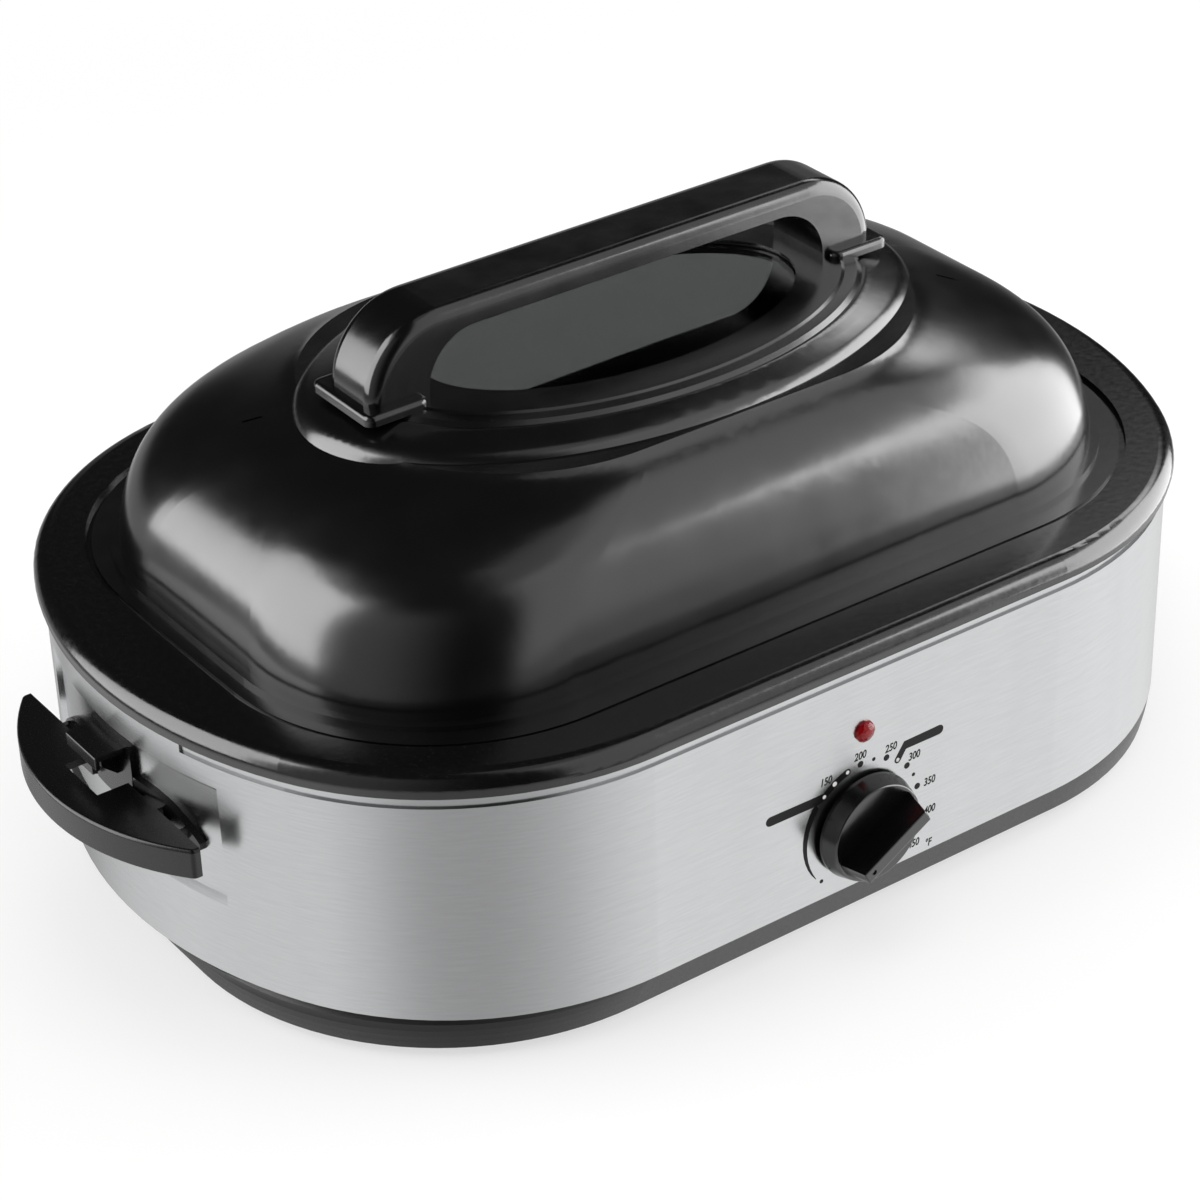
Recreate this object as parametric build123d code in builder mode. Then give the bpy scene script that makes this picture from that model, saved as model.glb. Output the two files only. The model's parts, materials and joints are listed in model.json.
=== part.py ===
"""Electric roaster oven, about 18 quart: a stainless wrapped heating base, a lift-out enamelled
pan with a wire rack, and a lift-off domed lid with an oval window.

Millimetres.  +Z up, +X along the length, the control knob faces -Y.  The origin is on the
supporting surface, under the middle of the overall box.  Because the knob stands out in front,
the middle of the body itself lies MID_Y behind the origin.

The feature that takes most skill is the drawn lid: a hipped dome lofted from a rounded rectangle
to a stadium, with a stepped oval boss that carries the glass and the handle feet.
"""

import os
from math import sqrt

from build123d import *

os.makedirs("parts", exist_ok=True)

MID_Y = 6.0  # the body's middle, behind the middle of the overall box

# Plan outlines: half length, half width, corner radius, radius of the bowed end.
RIM = (270.0, 184.5, 150.0, 224.0)
SKIRT_FOOT = (254.5, 174.0, 134.0, 3000.0)
SEAT = (234.0, 157.0, 110.0, 3000.0)
PAN_MOUTH = (221.0, 142.0, 98.0, 3000.0)
BRIM = (231.0, 154.0, 107.0, 3000.0)
BEAD = (224.0, 144.0, 100.5, 3000.0)
SHELL = tuple(size - 3.5 for size in RIM)
WELL = tuple(size + 9.0 for size in PAN_MOUTH)

# Heights.
FOOT = 5.0
SHELL_FOOT = 22.0
WELL_FLANGE = 139.3
RIM_FOOT = 139.4
RIM_TOP = 147.0
SEAT_TOP = 144.6
PAN_FLOOR = 38.0
WELL_FLOOR = 29.0

SHEET = 1.2
SHELL_SHEET = 1.0
SHELL_TOP = WELL_FLANGE - SHEET
FIT = 0.1  # gap between pieces that rest on each other
TURN_FIT = 0.05  # gap between the thermostat's shaft and its bores
PAST = 1.0  # cutting shapes run this far past the faces that they cut

# Control panel.
KNOB_Z = 53.2
LAMP_Z = 101.0
POINTER = -120.0  # clock angle of the knob's pointer at rest, seen from the front
FRONT_Y = MID_Y - SHELL[1]
BACK_Y = MID_Y + SHELL[1]

# Lid.
DOME_HALF_LENGTH = 219.5
DOME_HALF_WIDTH = 139.5
DOME_CORNER = 96.0
LENGTH_RATE = 1.7  # the ends slope in this much faster than the sides
CORNER_RATE = 0.37
DOME_FLAT = 4.0  # least half length of the straight stretch across each end
DOME_PROFILE = (
    (0.0, 0.0),
    (1.8, 20.7),
    (5.8, 37.1),
    (10.4, 46.5),
    (16.0, 53.5),
    (23.2, 60.1),
    (31.2, 65.5),
    (43.0, 72.0),
)
BOSS_SWELL = (
    (157.0, 96.6, 212.0),
    (155.4, 95.2, 219.0),
    (152.2, 92.6, 222.3),
    (146.0, 88.4, 224.5),
    (138.5, 84.0, 226.2),
    (130.0, 79.5, 227.4),
)
BOSS_STEP = (
    (130.0, 79.5, 220.0),
    (130.0, 79.5, 227.4),
    (127.6, 77.4, 228.9),
    (121.6, 72.2, 229.2),
    (120.0, 71.0, 230.0),
)
LID_TOP = BOSS_STEP[-1][2]
WINDOW = (97.0, 54.0)
GLASS = (103.0, 60.0)
GLASS_THICK = 4.0
GASKET_THICK = 0.8
HANDLE_HOLE = 2.6

# Lid handle.
BAR_TOP = 269.5
BAR_FOOT = 258.0
BAR_HALF = 18.0
LEG_OUT = 137.0
LEG_IN = 107.5
ELBOW = 37.0
ARCH = 25.0
HANDLE_SCREW_X = 114.0


def level(height):
    """The horizontal plane at a height, centred on the body."""
    return Plane((0, MID_Y, height))


def facing(point, direction):
    """A plane at a point that looks along a direction, with its Y axis up."""
    normal = Vector(*direction)
    return Plane(point, x_dir=Vector(0, 0, 1).cross(normal), z_dir=normal)


def oval(shape, inset=0.0):
    """Fill an outline of straight sides, four corner arcs and two bowed ends."""
    half_length, half_width, corner, end = (size - inset for size in shape)
    end_centre = half_length - end
    rise = half_width - corner
    corner_centre = end_centre + sqrt((end - corner) ** 2 - rise**2)
    slope = Vector(corner_centre - end_centre, rise).normalized()
    join = Vector(end_centre, 0) + slope * end
    bulge = (slope + Vector(0, 1)).normalized() * corner + Vector(corner_centre, rise)
    side = Vector(corner_centre, half_width)

    def at(point, x_sign, y_sign):
        return (point.X * x_sign, point.Y * y_sign)

    with BuildLine() as outline:
        for x_sign, y_sign in ((1, 1), (1, -1), (-1, -1), (-1, 1)):
            ThreePointArc(
                at(side, x_sign, y_sign), at(bulge, x_sign, y_sign), at(join, x_sign, y_sign)
            )
        for sign in (1, -1):
            ThreePointArc(at(join, sign, 1), (half_length * sign, 0), at(join, sign, -1))
            Line(at(side, 1, sign), at(side, -1, sign))
    make_face(outline.edges())


def slab(shape, inset, low, high, mode=Mode.ADD):
    """An upright block with an oval outline."""
    with BuildSketch(level(low)) as plan:
        oval(shape, inset)
    extrude(plan.sketch, amount=high - low, mode=mode)


def between(low_shape, high_shape, share):
    """The outline part of the way from one oval to another, with the end's curvature in step."""
    shape = [a + (b - a) * share for a, b in zip(low_shape, high_shape)]
    shape[3] = 1 / (1 / low_shape[3] + (1 / high_shape[3] - 1 / low_shape[3]) * share)
    return shape


def taper(low_shape, high_shape, inset, low, high, mode=Mode.ADD, steps=1):
    """A block whose outline changes evenly from one oval to another."""
    sections = []
    for step in range(steps + 1):
        share = step / steps
        with BuildSketch(level(low + (high - low) * share)) as section:
            oval(between(low_shape, high_shape, share), inset)
        sections.append(section.sketch)
    loft(sections, ruled=True, mode=mode)


def block(x_span, y_span, z_span, mode=Mode.ADD):
    """A box between two corners, with Y measured from the body's middle."""
    middle = [sum(span) / 2 for span in (x_span, y_span, z_span)]
    size = [span[1] - span[0] for span in (x_span, y_span, z_span)]
    with Locations((middle[0], middle[1] + MID_Y, middle[2])):
        Box(*size, mode=mode)


def peg(centre, direction, radius, length, mode=Mode.ADD):
    """A round bar that starts at a point and runs along a direction."""
    with BuildSketch(facing(centre, direction)) as section:
        Circle(radius)
    extrude(section.sketch, amount=length, mode=mode)


def upright(x, y, low, high, radius, mode=Mode.ADD):
    """A vertical round bar, with Y measured from the body's middle."""
    with BuildSketch(level(low)) as section:
        with Locations((x, y)):
            Circle(radius)
    extrude(section.sketch, amount=high - low, mode=mode)


def save(builder, name):
    """Label a finished piece and write it."""
    builder.part.label = name
    export_step(builder.part, f"parts/{name}.step")


# ---------------------------------------------------------------- base tray, feet and screws
FOOT_SPOTS = [(x, y) for x in (-185.0, 185.0) for y in (-105.0, 105.0)]
FOOT_R = 9.5
FOOT_RECESS_R = 4.4
FOOT_RECESS = 3.0
FOOT_DRAFT = -6.0  # degrees; the feet widen upwards
TRAY_SHEET = 1.5
TRAY_LIP = 8.0
SKIRT_STEPS = 5
LEDGE = tuple(size - 1.8 for size in SHELL)
M4 = 1.95  # radius of an M4 shank
M4_HOLE = 2.2
M4_HEAD = 3.9
M4_HEAD_TALL = 2.2
FOOT_SCREW_GRIP = 10.0  # how far the foot screws reach above the tray's floor
VENT = (36.0, 5.0)
VENT_PITCH = (34.0, 56.0)
VENT_ROWS = (7, 2)
STANDOFF_R = 4.0
STANDOFF_TAPPED = 12.0

with BuildPart() as base_tray:
    taper(SKIRT_FOOT, LEDGE, 0, FOOT, SHELL_FOOT, steps=SKIRT_STEPS)
    slab(SHELL, SHELL_SHEET + FIT, SHELL_FOOT, SHELL_FOOT + TRAY_LIP)
    taper(SKIRT_FOOT, LEDGE, TRAY_SHEET, FOOT, SHELL_FOOT, mode=Mode.SUBTRACT, steps=SKIRT_STEPS)
    slab(
        SHELL,
        SHELL_SHEET + FIT + TRAY_SHEET,
        SHELL_FOOT - PAST,
        SHELL_FOOT + TRAY_LIP,
        mode=Mode.SUBTRACT,
    )
    slab(SKIRT_FOOT, 0, FOOT, FOOT + TRAY_SHEET)
    with BuildSketch(level(FOOT)):
        with GridLocations(*VENT_PITCH, *VENT_ROWS):
            SlotOverall(*VENT, rotation=90)
        with Locations(FOOT_SPOTS):
            Circle(M4_HOLE)
    extrude(amount=TRAY_SHEET, mode=Mode.SUBTRACT)
save(base_tray, "base_tray")

with BuildPart() as rubber_feet:
    with BuildSketch(level(0)):
        with Locations(FOOT_SPOTS):
            Circle(FOOT_R)
    extrude(amount=FOOT, taper=FOOT_DRAFT)
    with BuildSketch(level(0)):
        with Locations(FOOT_SPOTS):
            Circle(FOOT_RECESS_R)
    extrude(amount=FOOT_RECESS, mode=Mode.SUBTRACT)
    with BuildSketch(level(0)):
        with Locations(FOOT_SPOTS):
            Circle(M4_HOLE)
    extrude(amount=FOOT, mode=Mode.SUBTRACT)
save(rubber_feet, "rubber_feet")

with BuildPart() as foot_screws:
    for x, y in FOOT_SPOTS:
        upright(x, y, FOOT_RECESS - M4_HEAD_TALL, FOOT_RECESS, M4_HEAD)
        upright(x, y, FOOT_RECESS, FOOT + FOOT_SCREW_GRIP, M4)
save(foot_screws, "foot_screws")

with BuildPart() as well_standoffs:
    with BuildSketch(level(FOOT + TRAY_SHEET)):
        with Locations(FOOT_SPOTS):
            RegularPolygon(STANDOFF_R, 6)
    extrude(amount=WELL_FLOOR - FOOT - TRAY_SHEET)
    with BuildSketch(level(FOOT + TRAY_SHEET)):
        with Locations(FOOT_SPOTS):
            Circle(M4 + FIT)
    extrude(amount=STANDOFF_TAPPED, mode=Mode.SUBTRACT)
save(well_standoffs, "well_standoffs")

# ---------------------------------------------------------------- stainless wrap
GROOVE = (129.5, 133.5)  # heights of the rolled groove, which stops short of the ends
GROOVE_DEPTH = 1.2
GROOVE_END = 52.0
POCKET = (62.0, 116.0)  # heights of the pressed pocket behind each end handle
POCKET_DEPTH = 2.5
POCKET_HALF = 62.0  # half width of the pocket's window at INSIDE_X, from where it flares
POCKET_FLARE = 1.9
POCKET_RUN = 3.0  # height of the slopes above and below the floor
LAMP_HOLE = 4.3
BUSH_HOLE = 5.6
BRACKET_SCREW_X = (-14.0, 14.0)
GRIP_SCREWS = ((-32.0, 90.0), (32.0, 90.0), (0.0, 104.0))  # y from the middle, z
CORD_X, CORD_Z, CORD_HOLE = 90.0, 46.0, 8.0
WALL_CUT = 4.0
INSIDE_X = 250.0  # a place well inside the end walls, where cuts and pegs through them start
END_CUT = 20.0


def over_pocket(skin):
    """What lies in front of a pressed pocket's floor and sloping sides, at both ends."""
    near = tuple(size - skin for size in SHELL)
    floor = tuple(size - POCKET_DEPTH for size in near)
    low, high = POCKET[0] - skin / 2, POCKET[1] + skin / 2
    inner = Vector(INSIDE_X - skin, POCKET_HALF + skin / 2)
    outer = inner + Vector(1, POCKET_FLARE) * (SHELL[0] + PAST - inner.X)
    with BuildPart() as front:
        with BuildSketch(level(low - POCKET_RUN)) as plan:
            for side in (-1, 1):
                with BuildLine() as window:
                    Polyline(
                        (side * inner.X, -inner.Y),
                        (side * outer.X, -outer.Y),
                        (side * outer.X, outer.Y),
                        (side * inner.X, inner.Y),
                        close=True,
                    )
                make_face(window.edges())
        extrude(plan.sketch, amount=high - low + 2 * POCKET_RUN)
        taper(near, floor, 0, low - POCKET_RUN, low, mode=Mode.SUBTRACT)
        slab(floor, 0, low, high, mode=Mode.SUBTRACT)
        taper(floor, near, 0, high, high + POCKET_RUN, mode=Mode.SUBTRACT)
    return front.part


def groove_stop(inset, margin):
    """The plain stretch of wrap between the two ends of the groove, over both ends."""
    low, high = GROOVE[0] - margin, GROOVE[1] + margin
    with BuildPart() as stop:
        slab(SHELL, inset, low, high)
        block((-SHELL[0], SHELL[0]), (-GROOVE_END, GROOVE_END), (low, high), mode=Mode.INTERSECT)
    return stop.part


pocket_front = over_pocket(0)
pocket_back = over_pocket(SHELL_SHEET)
groove_margin = SHELL_SHEET / 2
stop_outside = groove_stop(0, 0)
stop_inside = groove_stop(SHELL_SHEET, groove_margin)

with BuildPart() as wrap_inside:
    slab(SHELL, SHELL_SHEET, SHELL_FOOT, GROOVE[0] - groove_margin)
    slab(SHELL, SHELL_SHEET + GROOVE_DEPTH, GROOVE[0] - groove_margin, GROOVE[1] + groove_margin)
    slab(SHELL, SHELL_SHEET, GROOVE[1] + groove_margin, SHELL_TOP)
    add(stop_inside)
    add(pocket_back, mode=Mode.SUBTRACT)

with BuildPart() as outer_shell:
    slab(SHELL, 0, SHELL_FOOT, GROOVE[0])
    slab(SHELL, GROOVE_DEPTH, GROOVE[0], GROOVE[1])
    slab(SHELL, 0, GROOVE[1], SHELL_TOP)
    add(stop_outside)
    add(pocket_front, mode=Mode.SUBTRACT)
    add(wrap_inside.part, mode=Mode.SUBTRACT)
    peg((0, FRONT_Y - PAST, KNOB_Z), (0, 1, 0), BUSH_HOLE, WALL_CUT, mode=Mode.SUBTRACT)
    peg((0, FRONT_Y - PAST, LAMP_Z), (0, 1, 0), LAMP_HOLE, WALL_CUT, mode=Mode.SUBTRACT)
    for x in BRACKET_SCREW_X:
        peg((x, FRONT_Y - PAST, KNOB_Z), (0, 1, 0), M4_HOLE, WALL_CUT, mode=Mode.SUBTRACT)
    peg((CORD_X, BACK_Y - SHELL_SHEET - PAST, CORD_Z), (0, 1, 0), CORD_HOLE, WALL_CUT, mode=Mode.SUBTRACT)
    for side in (-1, 1):
        for y, z in GRIP_SCREWS:
            peg((side * INSIDE_X, MID_Y + y, z), (side, 0, 0), M4_HOLE, END_CUT, mode=Mode.SUBTRACT)
save(outer_shell, "outer_shell")

# ---------------------------------------------------------------- heat well and what heats it
WELL_BEND = 14.0
LIP_INSET = 0.8
LIP_DROP = 3.3
BAND = (60.0, 100.0)
BAND_THICK = 1.6
BLANKET = (40.0, 130.0)
BLANKET_THICK = 8.0
BAND_GAP = 16.0  # the band's ends stand this far apart at the back
GAP_BLOCK = (-5.0, 15.0)  # how far inside and outside the well's wall the gap is cut
WELL_BACK = MID_Y + WELL[1] + SHEET

with BuildPart() as well_outside:
    slab(WELL, -SHEET, WELL_FLOOR, WELL_FLANGE)
    fillet(well_outside.faces().sort_by(Axis.Z)[0].edges(), WELL_BEND)

with BuildPart() as well_inside:
    slab(WELL, 0, WELL_FLOOR + SHEET, WELL_FLANGE)
    fillet(well_inside.faces().sort_by(Axis.Z)[0].edges(), WELL_BEND - SHEET)

with BuildPart() as heat_well:
    slab(RIM, LIP_INSET, WELL_FLANGE - LIP_DROP, WELL_FLANGE)
    slab(RIM, LIP_INSET + SHEET, WELL_FLANGE - LIP_DROP, WELL_FLANGE - SHEET, mode=Mode.SUBTRACT)
    add(well_outside.part)
    add(well_inside.part, mode=Mode.SUBTRACT)
save(heat_well, "heat_well")

band_face = SHEET + FIT
blanket_face = band_face + BAND_THICK + FIT
gap_x = (-BAND_GAP / 2, BAND_GAP / 2)
gap_y = [WELL[1] + reach for reach in GAP_BLOCK]

with BuildPart() as heater_band:
    slab(WELL, -band_face - BAND_THICK, *BAND)
    slab(WELL, -band_face, *BAND, mode=Mode.SUBTRACT)
    block(gap_x, gap_y, BAND, mode=Mode.SUBTRACT)
save(heater_band, "heater_band")

with BuildPart() as insulation_blanket:
    slab(WELL, -blanket_face - BLANKET_THICK, *BLANKET)
    slab(WELL, -blanket_face, *BLANKET, mode=Mode.SUBTRACT)
    block(gap_x, gap_y, BLANKET, mode=Mode.SUBTRACT)
save(insulation_blanket, "insulation_blanket")

# ---------------------------------------------------------------- thermostat and its wires
SHAFT_R = 3.0
BORE_R = SHAFT_R + TURN_FIT
WALL_FRONT = FRONT_Y + SHELL_SHEET  # inner face of the front wall
BRACKET = 1.5
BRACKET_WIDTH = 12.0
BUSH_OUT = 2.0  # the threaded bush stands this far in front of the wall
BUSH_BORE = 12.0
CASE = 30.0
CASE_ROUND = 3.0
THERMOSTAT_DEPTH = 11.0
TAB_X = (-3.2, 3.2)  # spade tabs, measured from each rivet
TAB_Z = (-7.0, 4.0)
TAB_THICK = 1.2
BRACKET_SCREW = 7.0
BRACKET_SCREW_HEAD = 1.8
THERMOSTAT_BACK = WALL_FRONT + BRACKET + THERMOSTAT_DEPTH
TERMINALS = ((-8.0, 44.0), (8.0, 44.0))  # x, z
LEAD_R = 1.4
LEAD_FLOOR = 17.0
LEAD_BEND = 5.0
LEAD_CLEAR = 6.0  # from the well's back wall to the leads
LEAD_DRAW = 0.55  # the leads draw together towards the band's gap
LEAD_RISE = 14.0

with BuildPart() as thermostat:
    with BuildSketch(facing((0, WALL_FRONT, KNOB_Z), (0, 1, 0))):
        SlotCenterToCenter(BRACKET_SCREW_X[1] * 2, BRACKET_WIDTH)
    extrude(amount=BRACKET)
    with BuildSketch(facing((0, WALL_FRONT + BRACKET, KNOB_Z), (0, 1, 0))):
        RectangleRounded(CASE, CASE, CASE_ROUND)
    extrude(amount=THERMOSTAT_DEPTH)
    peg((0, FRONT_Y - BUSH_OUT, KNOB_Z), (0, 1, 0), BUSH_HOLE - FIT, BUSH_OUT + SHELL_SHEET + PAST)
    tab_y = (THERMOSTAT_BACK - MID_Y, THERMOSTAT_BACK - MID_Y + TAB_THICK)
    for x, z in TERMINALS:
        block([x + edge for edge in TAB_X], tab_y, [z + edge for edge in TAB_Z])
    peg((0, FRONT_Y - BUSH_OUT - PAST, KNOB_Z), (0, 1, 0), BORE_R, BUSH_BORE, mode=Mode.SUBTRACT)
    for x in BRACKET_SCREW_X:
        peg((x, WALL_FRONT, KNOB_Z), (0, 1, 0), M4 + FIT, BRACKET_SCREW, mode=Mode.SUBTRACT)
save(thermostat, "thermostat")

with BuildPart() as thermostat_screws:
    for x in BRACKET_SCREW_X:
        peg((x, FRONT_Y - BRACKET_SCREW_HEAD, KNOB_Z), (0, 1, 0), M4_HEAD, BRACKET_SCREW_HEAD)
        peg((x, FRONT_Y, KNOB_Z), (0, 1, 0), M4, BRACKET_SCREW)
save(thermostat_screws, "thermostat_screws")

with BuildPart() as heater_leads:
    for x, z in TERMINALS:
        start = (x, THERMOSTAT_BACK + TAB_THICK + LEAD_R, z)
        with BuildLine() as route:
            FilletPolyline(
                start,
                (x, start[1], LEAD_FLOOR),
                (x, WELL_BACK + LEAD_CLEAR, LEAD_FLOOR),
                (x * LEAD_DRAW, WELL_BACK + LEAD_CLEAR, BAND[0] + LEAD_RISE),
                radius=LEAD_BEND,
            )
        with BuildSketch(Plane(start, z_dir=(0, 0, -1))) as wire:
            Circle(LEAD_R)
        sweep(wire.sketch, path=route.line)
save(heater_leads, "heater_leads")

# ---------------------------------------------------------------- control knob
KNOB_GAP = 2.0
KNOB_FOOT_R = 25.6
KNOB_FACE_R = 23.5
KNOB_FACE = 10.9
KNOB_EDGE = 1.6  # height of the skirt's upright edge
KNOB_ROUND = 0.7
KNOB_WALL = 2.0
HUB_R = 5.6
KNOB_BAR_TALL = 13.0
KNOB_BAR_WIDE = 8.4
KNOB_BAR_DRAFT = 3.4  # degrees; the bar's sides lean in
KNOB_BAR_END_R = 22.4
KNOB_BAR_END_DRAFT = 12.5  # degrees; the bar's ends are part of a cone
KNOB_BAR_ROUND = 0.9
HUB_BORE = 3.0
SHAFT_IN_KNOB = 7.0
SHAFT_SHORT = 1.0  # the shaft ends this far before its blind hole
SHAFT_BACK = 14.0
CLIP_PLACE = 4.0
CLIP_WIDE = 3.0
CLIP_THICK = 0.8
CLIP_GAP = (3.0, 4.0)
DIMPLE_R = 1.3
DIMPLE_PLACE = 15.0  # the pointer's dimple, from the knob's axis
DIMPLE_DEPTH = 0.7


def from_panel(distance):
    """A plane in front of the control panel, with its Y axis up."""
    return Plane((0, FRONT_Y - distance, KNOB_Z), x_dir=(1, 0, 0), z_dir=(0, -1, 0))


knob_profile = (
    (0, KNOB_GAP),
    (KNOB_FOOT_R, KNOB_GAP),
    (KNOB_FOOT_R, KNOB_GAP + KNOB_EDGE),
    (KNOB_FACE_R, KNOB_FACE),
    (0, KNOB_FACE),
)

with BuildPart() as knob_bar:
    with BuildSketch(from_panel(KNOB_FACE)):
        Rectangle(2 * KNOB_FOOT_R, KNOB_BAR_WIDE, rotation=90 - POINTER)
    extrude(amount=KNOB_BAR_TALL, taper=KNOB_BAR_DRAFT)
    with BuildSketch(from_panel(KNOB_FACE)):
        Circle(KNOB_BAR_END_R)
    extrude(amount=KNOB_BAR_TALL, taper=KNOB_BAR_END_DRAFT, mode=Mode.INTERSECT)
    fillet(knob_bar.faces().sort_by(Axis.Y)[0].edges(), KNOB_BAR_ROUND)

with BuildPart() as knob:
    with BuildSketch(Plane((0, FRONT_Y, KNOB_Z), x_dir=(1, 0, 0), z_dir=(0, 0, 1))):
        with BuildLine():
            Polyline([(r, -h) for r, h in knob_profile], close=True)
        make_face()
    revolve(axis=Axis((0, 0, KNOB_Z), (0, 1, 0)))
    fillet(knob.faces().sort_by(Axis.Y)[0].edges(), KNOB_ROUND)
    add(knob_bar.part)
    with BuildSketch(from_panel(KNOB_FACE + KNOB_BAR_TALL)):
        with PolarLocations(DIMPLE_PLACE, 1, start_angle=90 - POINTER):
            Circle(DIMPLE_R)
    extrude(amount=-DIMPLE_DEPTH, mode=Mode.SUBTRACT)
    with BuildSketch(from_panel(0)):
        Circle(KNOB_FACE_R - KNOB_WALL)
        Circle(HUB_R, mode=Mode.SUBTRACT)
    extrude(amount=KNOB_FACE - KNOB_WALL, mode=Mode.SUBTRACT)
    with BuildSketch(from_panel(0)):
        Circle(HUB_R)
    extrude(amount=HUB_BORE, mode=Mode.SUBTRACT)
    with BuildSketch(from_panel(0)):
        Circle(BORE_R)
    extrude(amount=KNOB_FACE + SHAFT_IN_KNOB, mode=Mode.SUBTRACT)
save(knob, "knob")

with BuildPart() as thermostat_shaft:
    shaft_tip = KNOB_FACE + SHAFT_IN_KNOB - SHAFT_SHORT
    peg((0, FRONT_Y - shaft_tip, KNOB_Z), (0, 1, 0), SHAFT_R, KNOB_FACE + SHAFT_BACK)
save(thermostat_shaft, "thermostat_shaft")

with BuildPart() as knob_clip:
    with BuildSketch(from_panel(CLIP_PLACE)):
        Circle(HUB_R + FIT + CLIP_THICK)
        Circle(HUB_R + FIT, mode=Mode.SUBTRACT)
        with Locations((0, HUB_R)):
            Rectangle(*CLIP_GAP, mode=Mode.SUBTRACT)
    extrude(amount=CLIP_WIDE)
save(knob_clip, "knob_clip")

# ---------------------------------------------------------------- indicator lamp
LENS_R = 5.2
LENS_DOME = 3.0
LENS_STEM = 4.1
LENS_DEPTH = 12.0
LENS_RIM = 0.7
LENS_FACE = 1.0  # the lens is hollow up to here behind the wall's face
BULB_R = 2.6
BULB_START = 2.0
LAMP_CLIP = (7.5, 0.8)  # radius and thickness

dome_radius = (LENS_R**2 + (LENS_DOME - LENS_RIM) ** 2) / (2 * (LENS_DOME - LENS_RIM))

with BuildPart() as indicator_lens:
    with BuildSketch(Plane((0, FRONT_Y, LAMP_Z), x_dir=(1, 0, 0), z_dir=(0, 0, 1))):
        with BuildLine():
            RadiusArc((0, -LENS_DOME), (LENS_R, -LENS_RIM), -dome_radius)
            Polyline(
                (LENS_R, -LENS_RIM),
                (LENS_R, 0),
                (LENS_STEM, 0),
                (LENS_STEM, LENS_DEPTH),
                (BULB_R + FIT, LENS_DEPTH),
                (BULB_R + FIT, LENS_FACE),
                (0, LENS_FACE),
                (0, -LENS_DOME),
            )
        make_face()
    revolve(axis=Axis((0, 0, LAMP_Z), (0, 1, 0)))
save(indicator_lens, "indicator_lens")

with BuildPart() as neon_lamp:
    peg((0, FRONT_Y + BULB_START, LAMP_Z), (0, 1, 0), BULB_R, LENS_DEPTH)
save(neon_lamp, "neon_lamp")

with BuildPart() as lamp_clip:
    with BuildSketch(facing((0, WALL_FRONT, LAMP_Z), (0, 1, 0))):
        Circle(LAMP_CLIP[0])
        Circle(LENS_STEM, mode=Mode.SUBTRACT)
    extrude(amount=LAMP_CLIP[1])
save(lamp_clip, "lamp_clip")

# ---------------------------------------------------------------- cord bushing
CORD_BORE = 3.8
CORD_ENTRY = 5.4  # the bore is wider inside the wall
THROAT = 0.5  # the narrow bore starts this far outside the wall
BUSHING_OUT = 12.0
BUSHING_IN = 4.0
BARB_R = 9.4
COLLAR_R = 11.5
COLLAR = 2.2
NECK = (9.0, 3.4)  # radius, and distance from the wall
NOSE_R = 6.6

bushing_profile = (
    (CORD_ENTRY, -BUSHING_IN),
    (BARB_R, -BUSHING_IN),
    (BARB_R, -SHELL_SHEET),
    (CORD_HOLE - FIT, -SHELL_SHEET),
    (CORD_HOLE - FIT, 0),
    (COLLAR_R, 0),
    (COLLAR_R, COLLAR),
    NECK,
    (NOSE_R, BUSHING_OUT),
    (CORD_BORE, BUSHING_OUT),
    (CORD_BORE, THROAT),
    (CORD_ENTRY, THROAT),
)

with BuildPart() as cord_bushing:
    with BuildSketch(Plane((CORD_X, BACK_Y, CORD_Z), x_dir=(1, 0, 0), z_dir=(0, 0, 1))):
        with BuildLine():
            Polyline(bushing_profile, close=True)
        make_face()
    revolve(axis=Axis((CORD_X, 0, CORD_Z), (0, 1, 0)))
save(cord_bushing, "cord_bushing")

# ---------------------------------------------------------------- end handles and lid rests
GRIP_TOP = 96.6
GRIP_CHORD = 267.0
GRIP_APEX = 297.5
GRIP_TIP = 75.0
GRIP_BOW = 117.7  # radius of the outer edge
GRIP_SKIRT = 14.0
GRIP_PLATE = 3.5
GRIP_WALL = 2.5
GRIP_NOTCH = (14.5, 282.0)
FLANGE_Z = (83.0, 101.0)
FLANGE_Y = (18.0, 59.0)
FLANGE_THICK = 3.0
REST_HALF = 16.5
REST_Z = (83.0, 115.5)
REST_PLATE_TOP = 113.5
REST_PLATE = (280.5, 13.0)
REST_THICK = 2.4
GRIP_RIBS = ((26.0, 38.0, 0.8), (50.0, 52.5, 6.0))  # from, to, and how far under the grip's top
GRIP_EDGE = 1.6
GRIP_TIP_ROUND = 3.0
RIB_FOOT = 10.6
FLANGE_REACH = 80.0  # the flange's arc is cut from a plate that reaches this far out
FLANGE_TIP = 3.0  # height of the flange's outer end
FLANGE_BULGE = (47.0, 95.5)  # a point on the flange's arched edge
REST_PAD = 2.6
REST_START = 262.0
REST_EDGE = 0.8
LIP_Z = 107.0
LIP_THICK = 2.0
RIB_Y = 6.0
RIB_PROFILE = ((262.0, 111.5), (262.0, 98.0), (268.0, 98.0), (275.0, 104.0), (275.0, 111.5))
REST_BOSS = (3.6, 9.0)  # radius and length of the screw boss
REST_BLIND = 2.0  # the screw's hole stops this far inside the boss's end
GRIP_SCREW_DEPTH = 16.0
GRIP_WASHER = 1.0
GRIP_SCREW_HEAD = 2.6
GRIP_SCREW = 6.0


def crescent(inset, low, high, mode=Mode.ADD):
    """The handle's plan: a straight inner edge, a bowed outer edge and blunt tips."""
    chord = GRIP_CHORD + inset
    reach = GRIP_APEX - inset - chord
    with BuildSketch(level(low)) as plan:
        with Locations((GRIP_APEX - GRIP_BOW, 0)):
            Circle(GRIP_BOW - inset)
        with Locations((chord + reach / 2, 0)):
            Rectangle(reach, 2 * (GRIP_TIP - inset), mode=Mode.INTERSECT)
    extrude(plan.sketch, amount=high - low, mode=mode)


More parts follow.
